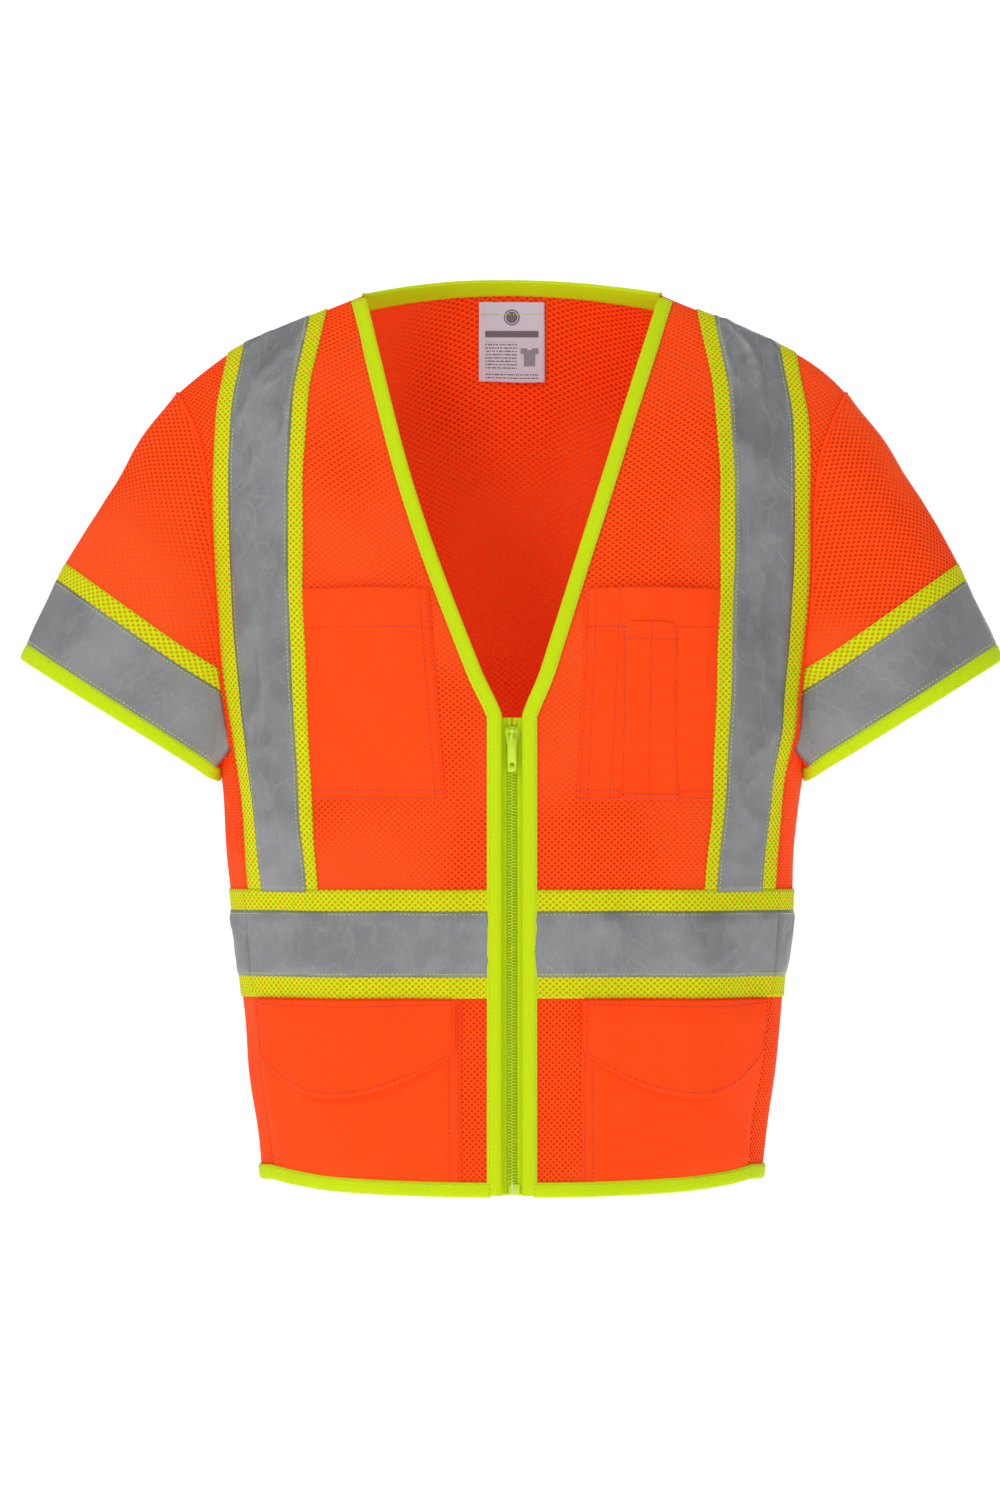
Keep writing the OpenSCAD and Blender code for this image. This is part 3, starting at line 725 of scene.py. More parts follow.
bandStrip = {"wide": 0.0775, "tapeWide": 0.051, "crinkle": 0.0006, "buckle": 0.0014, "seed": 17.0,
             "inTop": 0.144, "outTop": 0.222}
bandLayers = {
    "Band": {"lift": 0.0016, "thick": 0.0006, "material": limeMesh, "slot": "lime_knit"},
    "Tape": {"lift": 0.0021, "thick": 0.00035, "material": silverTape, "slot": "silver_tape"},
}
stripeOut = easedTable([(-0.463, 0.2040), (-0.376, 0.2105), (-0.34, 0.2180), (-0.28, 0.2255),
                        (-0.22, 0.2300), (-0.14, 0.2320), (-0.09, 0.2300), (-0.046, 0.2220)], 0.012)
stripeIn = easedTable([(-0.463, 0.148), (-0.36, 0.156), (-0.24, 0.162), (-0.14, 0.162),
                       (-0.068, 0.156), (-0.012, 0.144)], 0.012)


def stripePlace(u, s, low):
    inTop, outTop = bandStrip["inTop"], bandStrip["outTop"]
    zIn, zOut = mix(low, shoulderZ(np.array(inTop)), s), mix(low, shoulderZ(np.array(outTop)), s)
    x = mix(np.interp(zIn, *stripeIn), np.interp(zOut, *stripeOut), u)
    z = mix(low, shoulderZ(mix(inTop, outTop, u)), s)
    return frontAngle(x, z), z


def crinkled(points, a, z, seed):      # the tape's stiff film pushes up in small creases
    up = (body(a, z, 0.001) - body(a, z, 0.0)) / 0.001
    fine = np.clip(1 - np.abs(noiseAt(points, (60, 60, 45), seed)) * 4, 0, 1) * bandStrip["crinkle"]
    broad = np.clip(1 - np.abs(noiseAt(points, (26, 26, 17), seed + 9)) * 4, 0, 1) * bandStrip["buckle"]
    runs = [lengths(points, axis) for axis in (0, 1)]
    toEdge = [np.minimum(run, run.max(axis, keepdims=True) - run) for axis, run in enumerate(runs)]
    inside = smooth(np.minimum(*toEdge) / 0.006)
    return points + up * ((fine + broad) * inside)[..., None]


def strip(name, a, z, part, flip, owner, node, raised=0.0):
    layer = bandLayers[part]
    points = body(a, z, layer["lift"] + raised)
    if part == "Tape":
        points = crinkled(points, a, z, bandStrip["seed"])
    piece = sheetPiece(name, points, layer["thick"], layer["material"], flip)
    hang(piece, owner, layer["slot"], node)


stitch = {"pitch": 0.0034, "start": 0.16, "share": 0.68, "radius": 0.00034,
          "rings": ((0.0, -0.0002, 0.4), (0.22, 0.00018, 1.0), (0.5, 0.00026, 1.0),
                    (0.78, 0.00018, 1.0), (1.0, -0.0002, 0.4))}     # place along, height, girth


def stitches(name, points, lift, threadPaint, owner, slot):      # one row of stitches
    run = lengths(points[None], 1)[0]
    count = max(2, int(run[-1] / stitch["pitch"]))
    starts = (np.arange(count) + stitch["start"]) * run[-1] / count
    ends = starts + stitch["share"] * run[-1] / count
    at = lambda s: np.stack([np.interp(s, run, points[:, k]) for k in range(3)], -1)
    up = lambda s: unit(np.stack([np.interp(s, run, lift[:, k]) for k in range(3)], -1))
    rings, faces = [], []
    for share, high, thin in stitch["rings"]:
        s = mix(starts, ends, share)
        middle, normal = at(s), up(s)
        aside = unit(np.cross(at(s + 0.0005) - at(s - 0.0005), normal))
        for turn in range(5):
            angle = math.tau * turn / 5
            rings.append(middle + normal * high + thin * stitch["radius"] * (
                aside * math.cos(angle) + normal * 0.8 * math.sin(angle)))
    points = np.stack(rings, 1)     # stitch, ring point
    for k in range(count):
        o = k * 25
        faces += [[o + r * 5 + j, o + r * 5 + (j + 1) % 5, o + r * 5 + 5 + (j + 1) % 5, o + r * 5 + 5 + j]
                  for r in range(4) for j in range(5)]
        faces += [[o + 4, o + 3, o + 2, o + 1, o], [o + 20, o + 21, o + 22, o + 23, o + 24]]
    piece = meshObject(name, points, faces, threadPaint)
    hang(piece, owner, slot)


def sewOnBody(name, a, z, lift, owner):     # a lime row on a band or binding
    points = body(a, z, lift)
    stitches(name, points, body(a, z, lift + 0.001) - points, limeThread, owner, "lime_knit")


def makeStripe(side, back):
    where = "back" if back else "front"
    node = "back_stripe" if back else "stripe"
    owner = "shell" if back else f"front_{sideName[side]}"
    turnBack = (lambda a: side * (180 - a)) if back else (lambda a: side * a)
    flip = (side < 0) != back
    margin = (1 - bandStrip["tapeWide"] / bandStrip["wide"]) / 2
    for part, columns, first, last in (("Band", 26, 0, 1), ("Tape", 20, margin, 1 - margin)):
        u, s = np.meshgrid(np.linspace(first, last, columns), easeRows(150))
        a, z = stripePlace(u, s, waistHigh - 0.002)
        strip(f"{where}Stripe{part}.{sideName[side]}", turnBack(a), z, part, flip, owner,
              f"{node}_{part.lower()}_{sideName[side]}")
    s = easeRows(260)
    for k, share in enumerate((0.035, margin + 0.035, 1 - margin - 0.035, 0.965)):
        a, z = stripePlace(share + 0 * s, s, waistHigh)
        lift = 0.0016 if k in (0, 3) else 0.0022
        sewOnBody(f"{where}StripeSeam{k}.{sideName[side]}", turnBack(a), z, lift, owner)


waist = {
    "layers": (("Band", waistLow, waistHigh, 26, 0.0002), ("Tape", tapeLow, tapeHigh, 18, 0.0)),
    "seams": ((waistLow + 0.0025, 0.0018), (tapeLow + 0.0025, 0.0022),
              (tapeHigh - 0.0025, 0.0022), (waistHigh - 0.0025, 0.0018)),      # height and lift
    "start": 0.0165,
    "seamStart": 0.0215,
}


def makeWaistFront(side):
    owner = f"front_{sideName[side]}"
    for part, low, high, rows, raised in waist["layers"]:
        u, t = np.meshgrid(np.linspace(0, 1, 70), np.linspace(0, 1, rows))
        z = mix(low, high, t)
        a = side * mix(frontAngle(waist["start"], z), vest["seamAngle"], u)
        strip(f"frontWaist{part}.{sideName[side]}", a, z, part, side < 0, owner,
              f"waist_{part.lower()}_{sideName[side]}", raised)
    u = np.linspace(0, 1, 160)
    for k, (z, lift) in enumerate(waist["seams"]):
        a = side * mix(frontAngle(waist["seamStart"], z), vest["seamAngle"] - 0.4, u)
        sewOnBody(f"frontWaistSeam{k}.{sideName[side]}", a, z + 0 * u, lift, owner)


def makeWaistBack():
    for part, low, high, rows, raised in waist["layers"]:
        u, t = np.meshgrid(np.linspace(0, 1, 150), np.linspace(0, 1, rows))
        a, z = mix(vest["seamAngle"], 360 - vest["seamAngle"], u), mix(low, high, t)
        strip(f"backWaist{part}", a, z, part, False, "shell", f"back_waist_{part.lower()}", raised)
    u = np.linspace(0, 1, 320)
    a = mix(vest["seamAngle"] + 0.4, 359.6 - vest["seamAngle"], u)
    for k, (z, lift) in enumerate(waist["seams"]):
        sewOnBody(f"backWaistSeam{k}", a, z + 0 * u, lift, "shell")


for side in (1, -1):
    makeStripe(side, False)
    makeStripe(side, True)
    makeWaistFront(side)
makeWaistBack()

binding = {"wide": 0.0105, "seamAt": 0.80, "seamLift": 0.0026, "cloth": 0.024}


def bindingRing():      # across the folded strip: place from the edge, and stand-off
    w = binding["wide"]
    outer = [(w, 0.0014), (w * 0.97, 0.0021), (w * 0.8, 0.0025), (w * 0.45, 0.0028), (w * 0.1, 0.0027),
             (-0.0008, 0.0020), (-0.0013, 0.0006), (-0.0010, -0.0010), (w * 0.08, -0.0019),
             (w * 0.45, -0.0021), (w * 0.8, -0.0019), (w * 0.97, -0.0016), (w, -0.0010)]
    inner = [(w * 0.5, -0.0009), (w * 0.05, -0.0008), (-0.0003, 0.0), (w * 0.05, 0.0012),
             (w * 0.5, 0.0013)]
    return np.array(outer + inner)


def bindingPiece(name, skin, place, count, material, flip, closed=False):
    ring = bindingRing()
    t = np.linspace(0, 1, count, endpoint=not closed)
    tt, hh = np.meshgrid(t, ring[:, 0], indexing="ij")
    off = np.broadcast_to(ring[:, 1], tt.shape)
    points = skin(*place(tt, hh), off)
    rings = ring.shape[0]
    uvs = np.stack([np.broadcast_to(lengths(points, 0)[:, :1], tt.shape), hh + off], -1)
    faces = [face if flip else face[::-1] for face in ringFaces(count, rings, closed)]
    if not closed:
        ends = [list(range(rings)), [(count - 1) * rings + j for j in range(rings)]]
        faces += [ends[0][::-1] if flip else ends[0], ends[1] if flip else ends[1][::-1]]
    piece = meshObject(name, points, faces, material, uvs)
    return piece


def frontEdgePlace(side):
    def place(t, h):
        z = mix(vest["hem"], -0.0035, t)
        lean = (innerEdge(z + 0.001, side) - innerEdge(z - 0.001, side)) / 0.002
        slope = np.where(z < vest["vPoint"], 0, lean)
        n = np.sqrt(1 + slope ** 2)
        zz = z - h * slope / n
        return side * frontAngle(innerEdge(z, side) + h / n, zz), zz
    return place


def makeBindings():
    seam = binding["wide"] * binding["seamAt"]
    for side in (1, -1):
        owner, name = f"front_{sideName[side]}", sideName[side]
        piece = bindingPiece(f"frontBinding.{name}", body, frontEdgePlace(side), 260, limeKnit, side < 0)
        hang(piece, owner, "lime_knit", f"front_binding_{name}")
        t = np.linspace(0, 1, 420)
        a, z = frontEdgePlace(side)(t, seam + 0 * t)
        sewOnBody(f"frontBindingSeam.{name}", a, z, binding["seamLift"], owner)

        def hemPlace(t, h):
            z = hemZ(1 - t) + h
            return side * mix(frontAngle(waist["start"], z), vest["seamAngle"], 1 - t), z
        piece = bindingPiece(f"hemBinding.{name}", body, hemPlace, 110, limeKnit, side < 0)
        hang(piece, owner, "lime_knit", f"hem_binding_{name}")
        a, z = hemPlace(t, seam)
        sewOnBody(f"hemBindingSeam.{name}", a, z, binding["seamLift"], owner)
    around = (360 - vest["seamAngle"], vest["seamAngle"])
    hemBack = lambda t, h: (mix(*around, t), vest["sideHem"] + h)
    piece = bindingPiece("backHemBinding", body, hemBack, 200, limeKnit, False)
    hang(piece, "shell", "lime_knit", "back_hem_binding")
    t = np.linspace(0, 1, 420)
    a, z = np.broadcast_arrays(*hemBack(t, seam))
    sewOnBody("backHemBindingSeam", a, z, binding["seamLift"], "shell")

    def neckPlace(t, h):
        x = vest["neckHalf"] * np.cos(math.pi * t)
        z = vest["backNeckRise"] * (1 - (x / vest["neckHalf"]) ** 2) - h
        return 180 - frontAngle(x, z), z
    piece = bindingPiece("backNeckBinding", body, neckPlace, 110, limeKnit, False)
    hang(piece, "shell", "lime_knit", "back_neck_binding")
    sewOnBody("backNeckBindingSeam", *neckPlace(t, seam), binding["seamLift"], "shell")


makeBindings()


sleeveTrim = {
    "layers": (("Band", 0.0096, 0.0765, 26, 0.0013), ("Tape", 0.0108, 0.0625, 18, 0.0018)),
    "seams": ((0.0086, 0.0026, 1.18), (0.0132, 0.0020, 1.18), (0.0602, 0.0020, 0.97),
              (0.0742, 0.0014, 0.87)),      # distance from the hem, lift and share of the half turn
    "turn": 154,
    "seamTurn": 128,
    "girth": 0.082,
}


def makeSleeveTrim(side):
    name = sideName[side]
    hemSkin = lambda phi, d, off: sleeveSkin(phi, d, off, side)
    piece = bindingPiece(f"sleeveBinding.{name}", hemSkin, lambda t, h: (360 * t, h), 170, limeKnit,
                         side > 0, closed=True)
    hang(piece, "shell", "lime_knit", f"sleeve_binding_{name}")
    for part, low, high, rows, lift in sleeveTrim["layers"]:
        phi, t = np.meshgrid(np.linspace(-sleeveTrim["turn"], sleeveTrim["turn"], 130),
                             np.linspace(0, 1, rows))
        reach = sleeveForm(phi, 0 * phi, side)[1]
        d = mix(low, np.minimum(high, reach - 0.001), t)
        layer = bandLayers[part]
        uvs = np.stack([np.radians(phi) * sleeveTrim["girth"], d], -1)
        piece = sheetPiece(f"sleeve{part}.{name}", sleeveSkin(phi, d, lift, side), layer["thick"],
                           layer["material"], side < 0, uvs=uvs)
        hang(piece, "shell", layer["slot"], f"sleeve_{part.lower()}_{name}")
    phi = np.linspace(-sleeveTrim["seamTurn"], sleeveTrim["seamTurn"], 360)
    for k, (d, lift, share) in enumerate(sleeveTrim["seams"]):
        span = phi * share
        points = sleeveSkin(span, d + 0 * span, lift, side)
        normals = sleeveSkin(span, d + 0 * span, lift + 0.001, side) - points
        stitches(f"sleeveSeam{k}.{name}", points, normals, limeThread, "shell", "lime_knit")


for side in (1, -1):
    makeSleeveTrim(side)


pocket = {"thick": 0.0006, "seam": 0.0012, "puff": 0.0020, "top": -0.230, "low": -0.394,
          "lowTop": -0.5455, "lowStart": 0.009, "sideGap": 1.0}


def pocketLift(u, t, seam, puff, openTop=0.0):     # flat where it is sewn, loose between
    inside = smooth(u / 0.10) * smooth((1 - u) / 0.10) * smooth(t / 0.10)
    mouth = smooth((t - 0.72) / 0.28) * np.sin(np.pi * np.clip(u, 0, 1))
    hem = 0.0004 * smooth((t - 0.80) / 0.02)
    return seam + inside * puff * (0.6 + 0.4 * np.sin(np.pi * u)) + openTop * mouth + hem


def pleats(u, t, seed):       # soft upright buckles between the seams
    across = np.stack([u * 5.0, seed + 0 * u, t * 1.3], -1)
    return smooth(u / 0.08) * smooth((1 - u) / 0.08) * smooth(t / 0.06) * (
        0.5 + noiseAt(across, (1, 1, 1), seed) * 1.8)


def clothPatch(name, side, place, shape, lift, thick, owner, node):
    u, t = np.meshgrid(np.linspace(0, 1, shape[0]), np.linspace(0, 1, shape[1]))
    a, z = place(u, t)
    piece = sheetPiece(name, body(side * a, z, lift(u, t)), thick, orangeWoven, side < 0)
    hang(piece, owner, "orange_woven", node)


def seamAlong(name, side, place, lift, path, owner):        # an orange row on a pocket or flap
    u, t = (np.asarray(k, float) for k in path)
    a, z = place(u, t)
    off = lift(u, t) + 0.0001
    points = body(side * a, z, off)
    normals = body(side * a, z, off + 0.001) - points
    stitches(name, points, normals, orangeThread, owner, "orange_woven")


def makeChestPocket(side, xHigh, xLow):
    name, owner = sideName[side], f"front_{sideName[side]}"

    def place(u, t):
        z = mix(pocket["low"], pocket["top"], t)
        inner = mix(xLow, xHigh, t)
        return frontAngle(mix(inner, np.interp(z, *stripeIn) + 0.0015, u), z), z

    def lift(u, t):
        tucked = 0.0005 * smooth((u - 0.9) * 10)        # its outer edge goes under the stripe
        return pocketLift(u, t, pocket["seam"], pocket["puff"], 0.0022) - tucked
    clothPatch(f"chestPocket.{name}", side, place, (64, 84), lift, pocket["thick"], owner,
               f"chest_pocket_{name}")
    run = np.linspace(0, 1, 120)
    upright = (0.020, 0.075)
    level = (0.010, 0.045, 0.815)
    rows = [[u + 0 * run, run] for u in upright] + [[run, t + 0 * run] for t in level]
    if side > 0:        # the side with the pen pocket has one more upright row
        rows.append([0.24 + 0 * run, run])
    for k, path in enumerate(rows):
        seamAlong(f"chestSeam{k}.{name}", side, place, lift, path, owner)


def makePenPocket():
    def place(u, t):
        z = mix(-0.392, -0.256, t)
        return frontAngle(mix(0.084, 0.128, u), z), z
    lift = lambda u, t: pocketLift(u, t, 0.0030, 0.0008, 0.0014)
    clothPatch("penPocket.left", 1, place, (36, 70), lift, pocket["thick"], "front_left",
               "pen_pocket_left")
    run = np.linspace(0, 1, 120)
    upright = (0.04, 0.96, 0.5)
    level = (0.02, 0.90)
    rows = [[u + 0 * run, run] for u in upright] + [[run, t + 0 * run] for t in level]
    for k, path in enumerate(rows):
        seamAlong(f"penSeam{k}.left", 1, place, lift, path, "front_left")


def lowerPlace(side, xIn, u, t):
    z = mix(hemZ(u) + pocket["lowStart"], pocket["lowTop"], t)
    return mix(frontAngle(xIn, z), vest["seamAngle"] - pocket["sideGap"], u), z


def lowerLift(side, u, t):
    loose = smooth((1 - t) / 0.16)      # its top is sewn down under the waist band
    smoothLift = pocketLift(u, t, pocket["seam"], pocket["puff"] * 1.3 * loose)
    return smoothLift + 0.0016 * pleats(u, t, 3.0 + side) * loose


def overPocket(side, pocketEdge, a, z):     # the pocket's stand-off at a place on the body
    start = frontAngle(pocketEdge, z)
    u = np.clip((a - start) / (vest["seamAngle"] - pocket["sideGap"] - start), 0, 1)
    low = hemZ(u) + pocket["lowStart"]
    return lowerLift(side, u, np.clip((z - low) / (pocket["lowTop"] - low), 0, 1))


def makeLowerPocket(side, xIn):
    name, owner = sideName[side], f"front_{sideName[side]}"
    place = lambda u, t: lowerPlace(side, xIn, u, t)
    lift = lambda u, t: lowerLift(side, u, t)
    clothPatch(f"lowerPocket.{name}", side, place, (96, 76), lift, pocket["thick"], owner,
               f"lower_pocket_{name}")
    run = np.linspace(0, 1, 150)
    for k, u in enumerate((0.010, 0.045)):
        seamAlong(f"lowerSeam{k}.{name}", side, place, lift, [u + 0 * run, run * 0.99], owner)


flap = {"thick": 0.0011, "lift": 0.0024, "bulge": 0.0024, "bend": 0.009, "sideGap": 3,
        "patchLow": -0.612, "patchHigh": -0.592, "patchHalf": 9, "patchThick": 0.0005}


def flapLow(u):
    return -0.588 - 0.036 * np.sin(np.pi * np.clip(u, 0, 1)) ** 0.8


def makeFlap(side, xIn, pocketEdge):
    name, owner = sideName[side], f"front_{sideName[side]}"
    bending = (owner, f"flap_{name}",
               {"start": (0, 0, flapTop + 0.0015), "end": (0, 0, flapTop - flap["bend"])})
    outer, top = vest["seamAngle"] - flap["sideGap"], flapTop + 0.0012

    def place(u, t):
        z = mix(flapLow(u), top, t)
        return mix(frontAngle(xIn, z), outer, u), z

    def lift(u, t):
        bulge = flap["bulge"] * np.sin(np.pi * u) * (1 - t)
        return overPocket(side, pocketEdge, *place(u, t)) + flap["lift"] + bulge
    clothPatch(f"pocketFlap.{name}", side, place, (100, 44), lift, flap["thick"], bending,
               f"pocket_flap_{name}")
    run = np.linspace(0, 1, 150)
    edge = [np.concatenate([0.014 + 0 * run, mix(0.014, 0.986, run), 0.986 + 0 * run]),
            np.concatenate([mix(0.98, 0.055, run), 0.055 + 0 * run, mix(0.055, 0.98, run)])]
    seamAlong(f"flapSeam.{name}", side, place, lift, edge, bending)
    across = [mix(0.02, 0.98, run), 0.93 + 0 * run]
    seamAlong(f"flapTopSeam.{name}", side, place, lift, across, bending)
    middle = (frontAngle(xIn, flapTop) + outer) / 2
    a, z = np.meshgrid(middle + np.linspace(-flap["patchHalf"], flap["patchHalf"], 24),
                       np.linspace(flap["patchLow"], flap["patchHigh"], 12))
    patch = flap["patchThick"]
    onPocket = body(side * a, z, overPocket(side, pocketEdge, a, z) + 0.0006)
    loop = sheetPiece(f"loopPatch.{name}", onPocket, patch, hookPile, side < 0)
    hang(loop, owner, "hook_and_loop", f"pocket_loop_patch_{name}")
    onFlap = (a - frontAngle(xIn, z)) / (outer - frontAngle(xIn, z))
    low = flapLow(onFlap)
    hookLift = lift(onFlap, (z - low) / (top - low)) - flap["thick"] + 0.0001
    hook = sheetPiece(f"hookPatch.{name}", body(side * a, z, hookLift), patch, hookPile, side < 0)
    hang(hook, f"flap_{name}", "hook_and_loop", f"flap_hook_patch_{name}")


makeChestPocket(1, 0.057, 0.050)
makeChestPocket(-1, 0.064, 0.051)
makePenPocket()
makeLowerPocket(1, 0.054)
makeLowerPocket(-1, 0.039)
makeFlap(1, 0.055, 0.054)
makeFlap(-1, 0.043, 0.039)

zipper = {"lean": math.radians(1.848), "foot": (0, -0.122, -0.700), "plane": -0.004, "pitch": 0.0024,
          "teethLow": 0.0094, "length": 0.366, "sliderLow": 0.3485, "sliderHigh": 0.3635, "pullLong": 0.032}


def zipPoint(x, out, s):        # out is the distance in front of the zip's line, s runs up it
    lean = zipper["lean"]
    x, out, s = np.broadcast_arrays(x, out, s)
    y = -out * math.cos(lean) - s * math.sin(lean)
    z = -out * math.sin(lean) + s * math.cos(lean)
    return np.stack([x + zipper["foot"][0], y + zipper["foot"][1], z + zipper["foot"][2]], -1)


def zipRide(piece, owner, *nodes):
    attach(piece, owner)
    if nodes:
        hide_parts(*nodes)


def plate(name, outline, out0, out1, edge=0.0004):     # an outline of x and s, thickened, edges rounded
    outline = np.array(outline, float)
    inward, count = unit(outline.mean(0) - outline), len(outline)
    layers = [(edge, out0), (edge * 0.3, out0 + edge * 0.3), (0, out0 + edge), (0, out1 - edge),
              (edge * 0.3, out1 - edge * 0.3), (edge, out1)]
    points = []
    for inset, out in layers:
        x, up = (outline + inward * inset).T
        points.append(zipPoint(x, out, up))
    faces = ringFaces(len(layers), count)
    faces += [list(range(count))[::-1], [(len(layers) - 1) * count + j for j in range(count)]]
    return outward(meshObject(name, np.stack(points), faces, zipPlastic))


def roundedBox(x0, x1, s0, s1, corner, steps=5):
    turn = np.radians(np.linspace(0, 90, steps))
    points = []
    for k, (x, s) in enumerate(((x1 - corner, s1 - corner), (x0 + corner, s1 - corner),
                                (x0 + corner, s0 + corner), (x1 - corner, s0 + corner))):
        points += [(x + corner * math.cos(w + k * math.pi / 2), s + corner * math.sin(w + k * math.pi / 2))
                   for w in turn]
    return points


def rod(name, x0, x1, out, s, radius, count=24, edge=0.0002):      # a pin lying across the zip
    angle = np.arange(count) * math.tau / count
    layers = [(x0, radius - edge), (x0 + edge, radius), (x1 - edge, radius), (x1, radius - edge)]
    points = [zipPoint(x + 0 * angle, out + r * np.cos(angle), s + r * np.sin(angle)) for x, r in layers]
    return outward(meshObject(name, np.stack(points), capped(len(layers), count), zipPlastic))


def makeTeeth(side):
    name = sideName[side]
    count = int((zipper["length"] - 0.002 - zipper["teethLow"]) / zipper["pitch"])
    angle = np.arange(10) * math.tau / 10
    profile = np.stack([np.sign(np.cos(angle)) * np.abs(np.cos(angle)) ** 0.6,
                        np.sign(np.sin(angle)) * np.abs(np.sin(angle)) ** 0.6], -1)
    reach = [(0.0036, 0.55, 0.75), (0.0034, 0.80, 0.95), (0.0022, 0.80, 1.0), (0.0008, 0.72, 0.95),
             (0.0001, 0.86, 0.95), (-0.0007, 0.86, 0.88), (-0.0011, 0.55, 0.6)]
    points, faces = [], []
    for i in range(count):
        s = zipper["teethLow"] + (i + 0.37 + (0.5 if side < 0 else 0)) * zipper["pitch"]
        for x, high, deep in reach:
            points.append(zipPoint(side * x + 0 * angle, zipper["plane"] + 0.00135 * deep * profile[:, 0],
                                   s + 0.00062 * high * profile[:, 1]))
        start = i * len(reach) * 10
        faces += [[start + k for k in face] for face in capped(len(reach), 10)]
    piece = outward(meshObject(f"teeth.{name}", np.stack(points), faces, zipPlastic))
    hang(piece, f"front_{name}", "zip_plastic", f"zipper_teeth_{name}")


def makeZipTape(side):
    name = sideName[side]
    top = zipper["length"] + 0.004
    x, s = np.meshgrid(np.linspace(0.0003, 0.017, 22), np.linspace(0.0004, top, 150))
    cord = 0.0007 * np.exp(-((x - 0.0045) / 0.0009) ** 2) - 0.0018 * smooth((0.0052 - x) / 0.0014)
    z = zipPoint(x, 0.0, s)[..., 2]
    fitted = body(side * frontAngle(x, z), z, -0.0028)
    flat = zipPoint(side * x, zipper["plane"] + 0.0005 + cord, s)
    points = mix(flat, fitted, smooth((x - 0.006) / 0.010)[..., None])
    piece = sheetPiece(f"zipTape.{name}", points, 0.0006, zipWeave, side < 0)
    hang(piece, f"front_{name}", "lime_knit", f"zipper_tape_{name}")


def makeZipEnds():
    plane, low = zipper["plane"], zipper["teethLow"] - 0.0003
    for side in (1, -1):
        name = sideName[side]
        ends = sorted((side * 0.0007, side * 0.0032))
        shape = roundedBox(*ends, zipper["length"] - 0.0016, zipper["length"] + 0.0012, 0.0005)
        zipRide(plate(f"topStop.{name}", shape, plane - 0.0017, plane + 0.0017),
                f"front_{name}", f"top_stop_{name}")
    shape = roundedBox(-0.0026, -0.0007, 0.0005, low, 0.0007)
    zipRide(plate("insertionPin", shape, plane - 0.0012, plane + 0.0012), "front_right", "insertion_pin")
    shape = roundedBox(0.0007, 0.0064, 0.0005, low, 0.0010)
    zipRide(plate("retainerBox", shape, plane - 0.0022, plane + 0.0022, 0.0006), "front_left", "retainer_box")


def makeSlider():
    low, high, plane = zipper["sliderLow"], zipper["sliderHigh"], zipper["plane"]
    half = [(0.0, high), (0.0022, high - 0.0001), (0.0043, high - 0.0008), (0.0054, high - 0.0024),
            (0.0054, high - 0.0050), (0.0048, high - 0.0080), (0.0044, low + 0.0040), (0.0044, low + 0.0014),
            (0.0034, low + 0.0002), (0.0012, low)]
    outline = half[::-1] + [(-x, s) for x, s in half[1:]]
    pivot = high - 0.0035
    for name, out0, out1 in (("Front", 0.0020, 0.0034), ("Back", -0.0034, -0.0020)):
        face = plate(f"slider{name}", outline, plane + out0, plane + out1, 0.0005)
        zipRide(face, "slider", *(["zipper_slider"] if name == "Front" else []))
    post = roundedBox(-0.0003, 0.0003, high - 0.006, high - 0.0005, 0.00025)
    zipRide(plate("sliderCore", post, plane - 0.0024, plane + 0.0024, 0.0001), "slider")
    arch = np.radians(np.linspace(0, 180, 13))
    for k, x in enumerate((-0.0035, 0.0024)):
        ring = [(plane + 0.0031, pivot - 0.0028)] + [
            (plane + 0.0055 + 0.0019 * math.sin(w), pivot - 0.0019 * math.cos(w)) for w in arch] + [
            (plane + 0.0031, pivot + 0.0028)]
        ring = np.array(ring)
        middle = ring.mean(0)
        layers = [(x, 0.94), (x + 0.0001, 1.0), (x + 0.0010, 1.0), (x + 0.0011, 0.94)]
        points = [zipPoint(xx, *(middle + (ring - middle) * grow).T) for xx, grow in layers]
        faces = capped(len(layers), len(ring))
        zipRide(outward(meshObject(f"sliderLug{k}", np.stack(points), faces, zipPlastic)), "slider")
    zipRide(rod("sliderPin", -0.0031, 0.0031, plane + 0.0059, pivot, 0.0007), "slider")


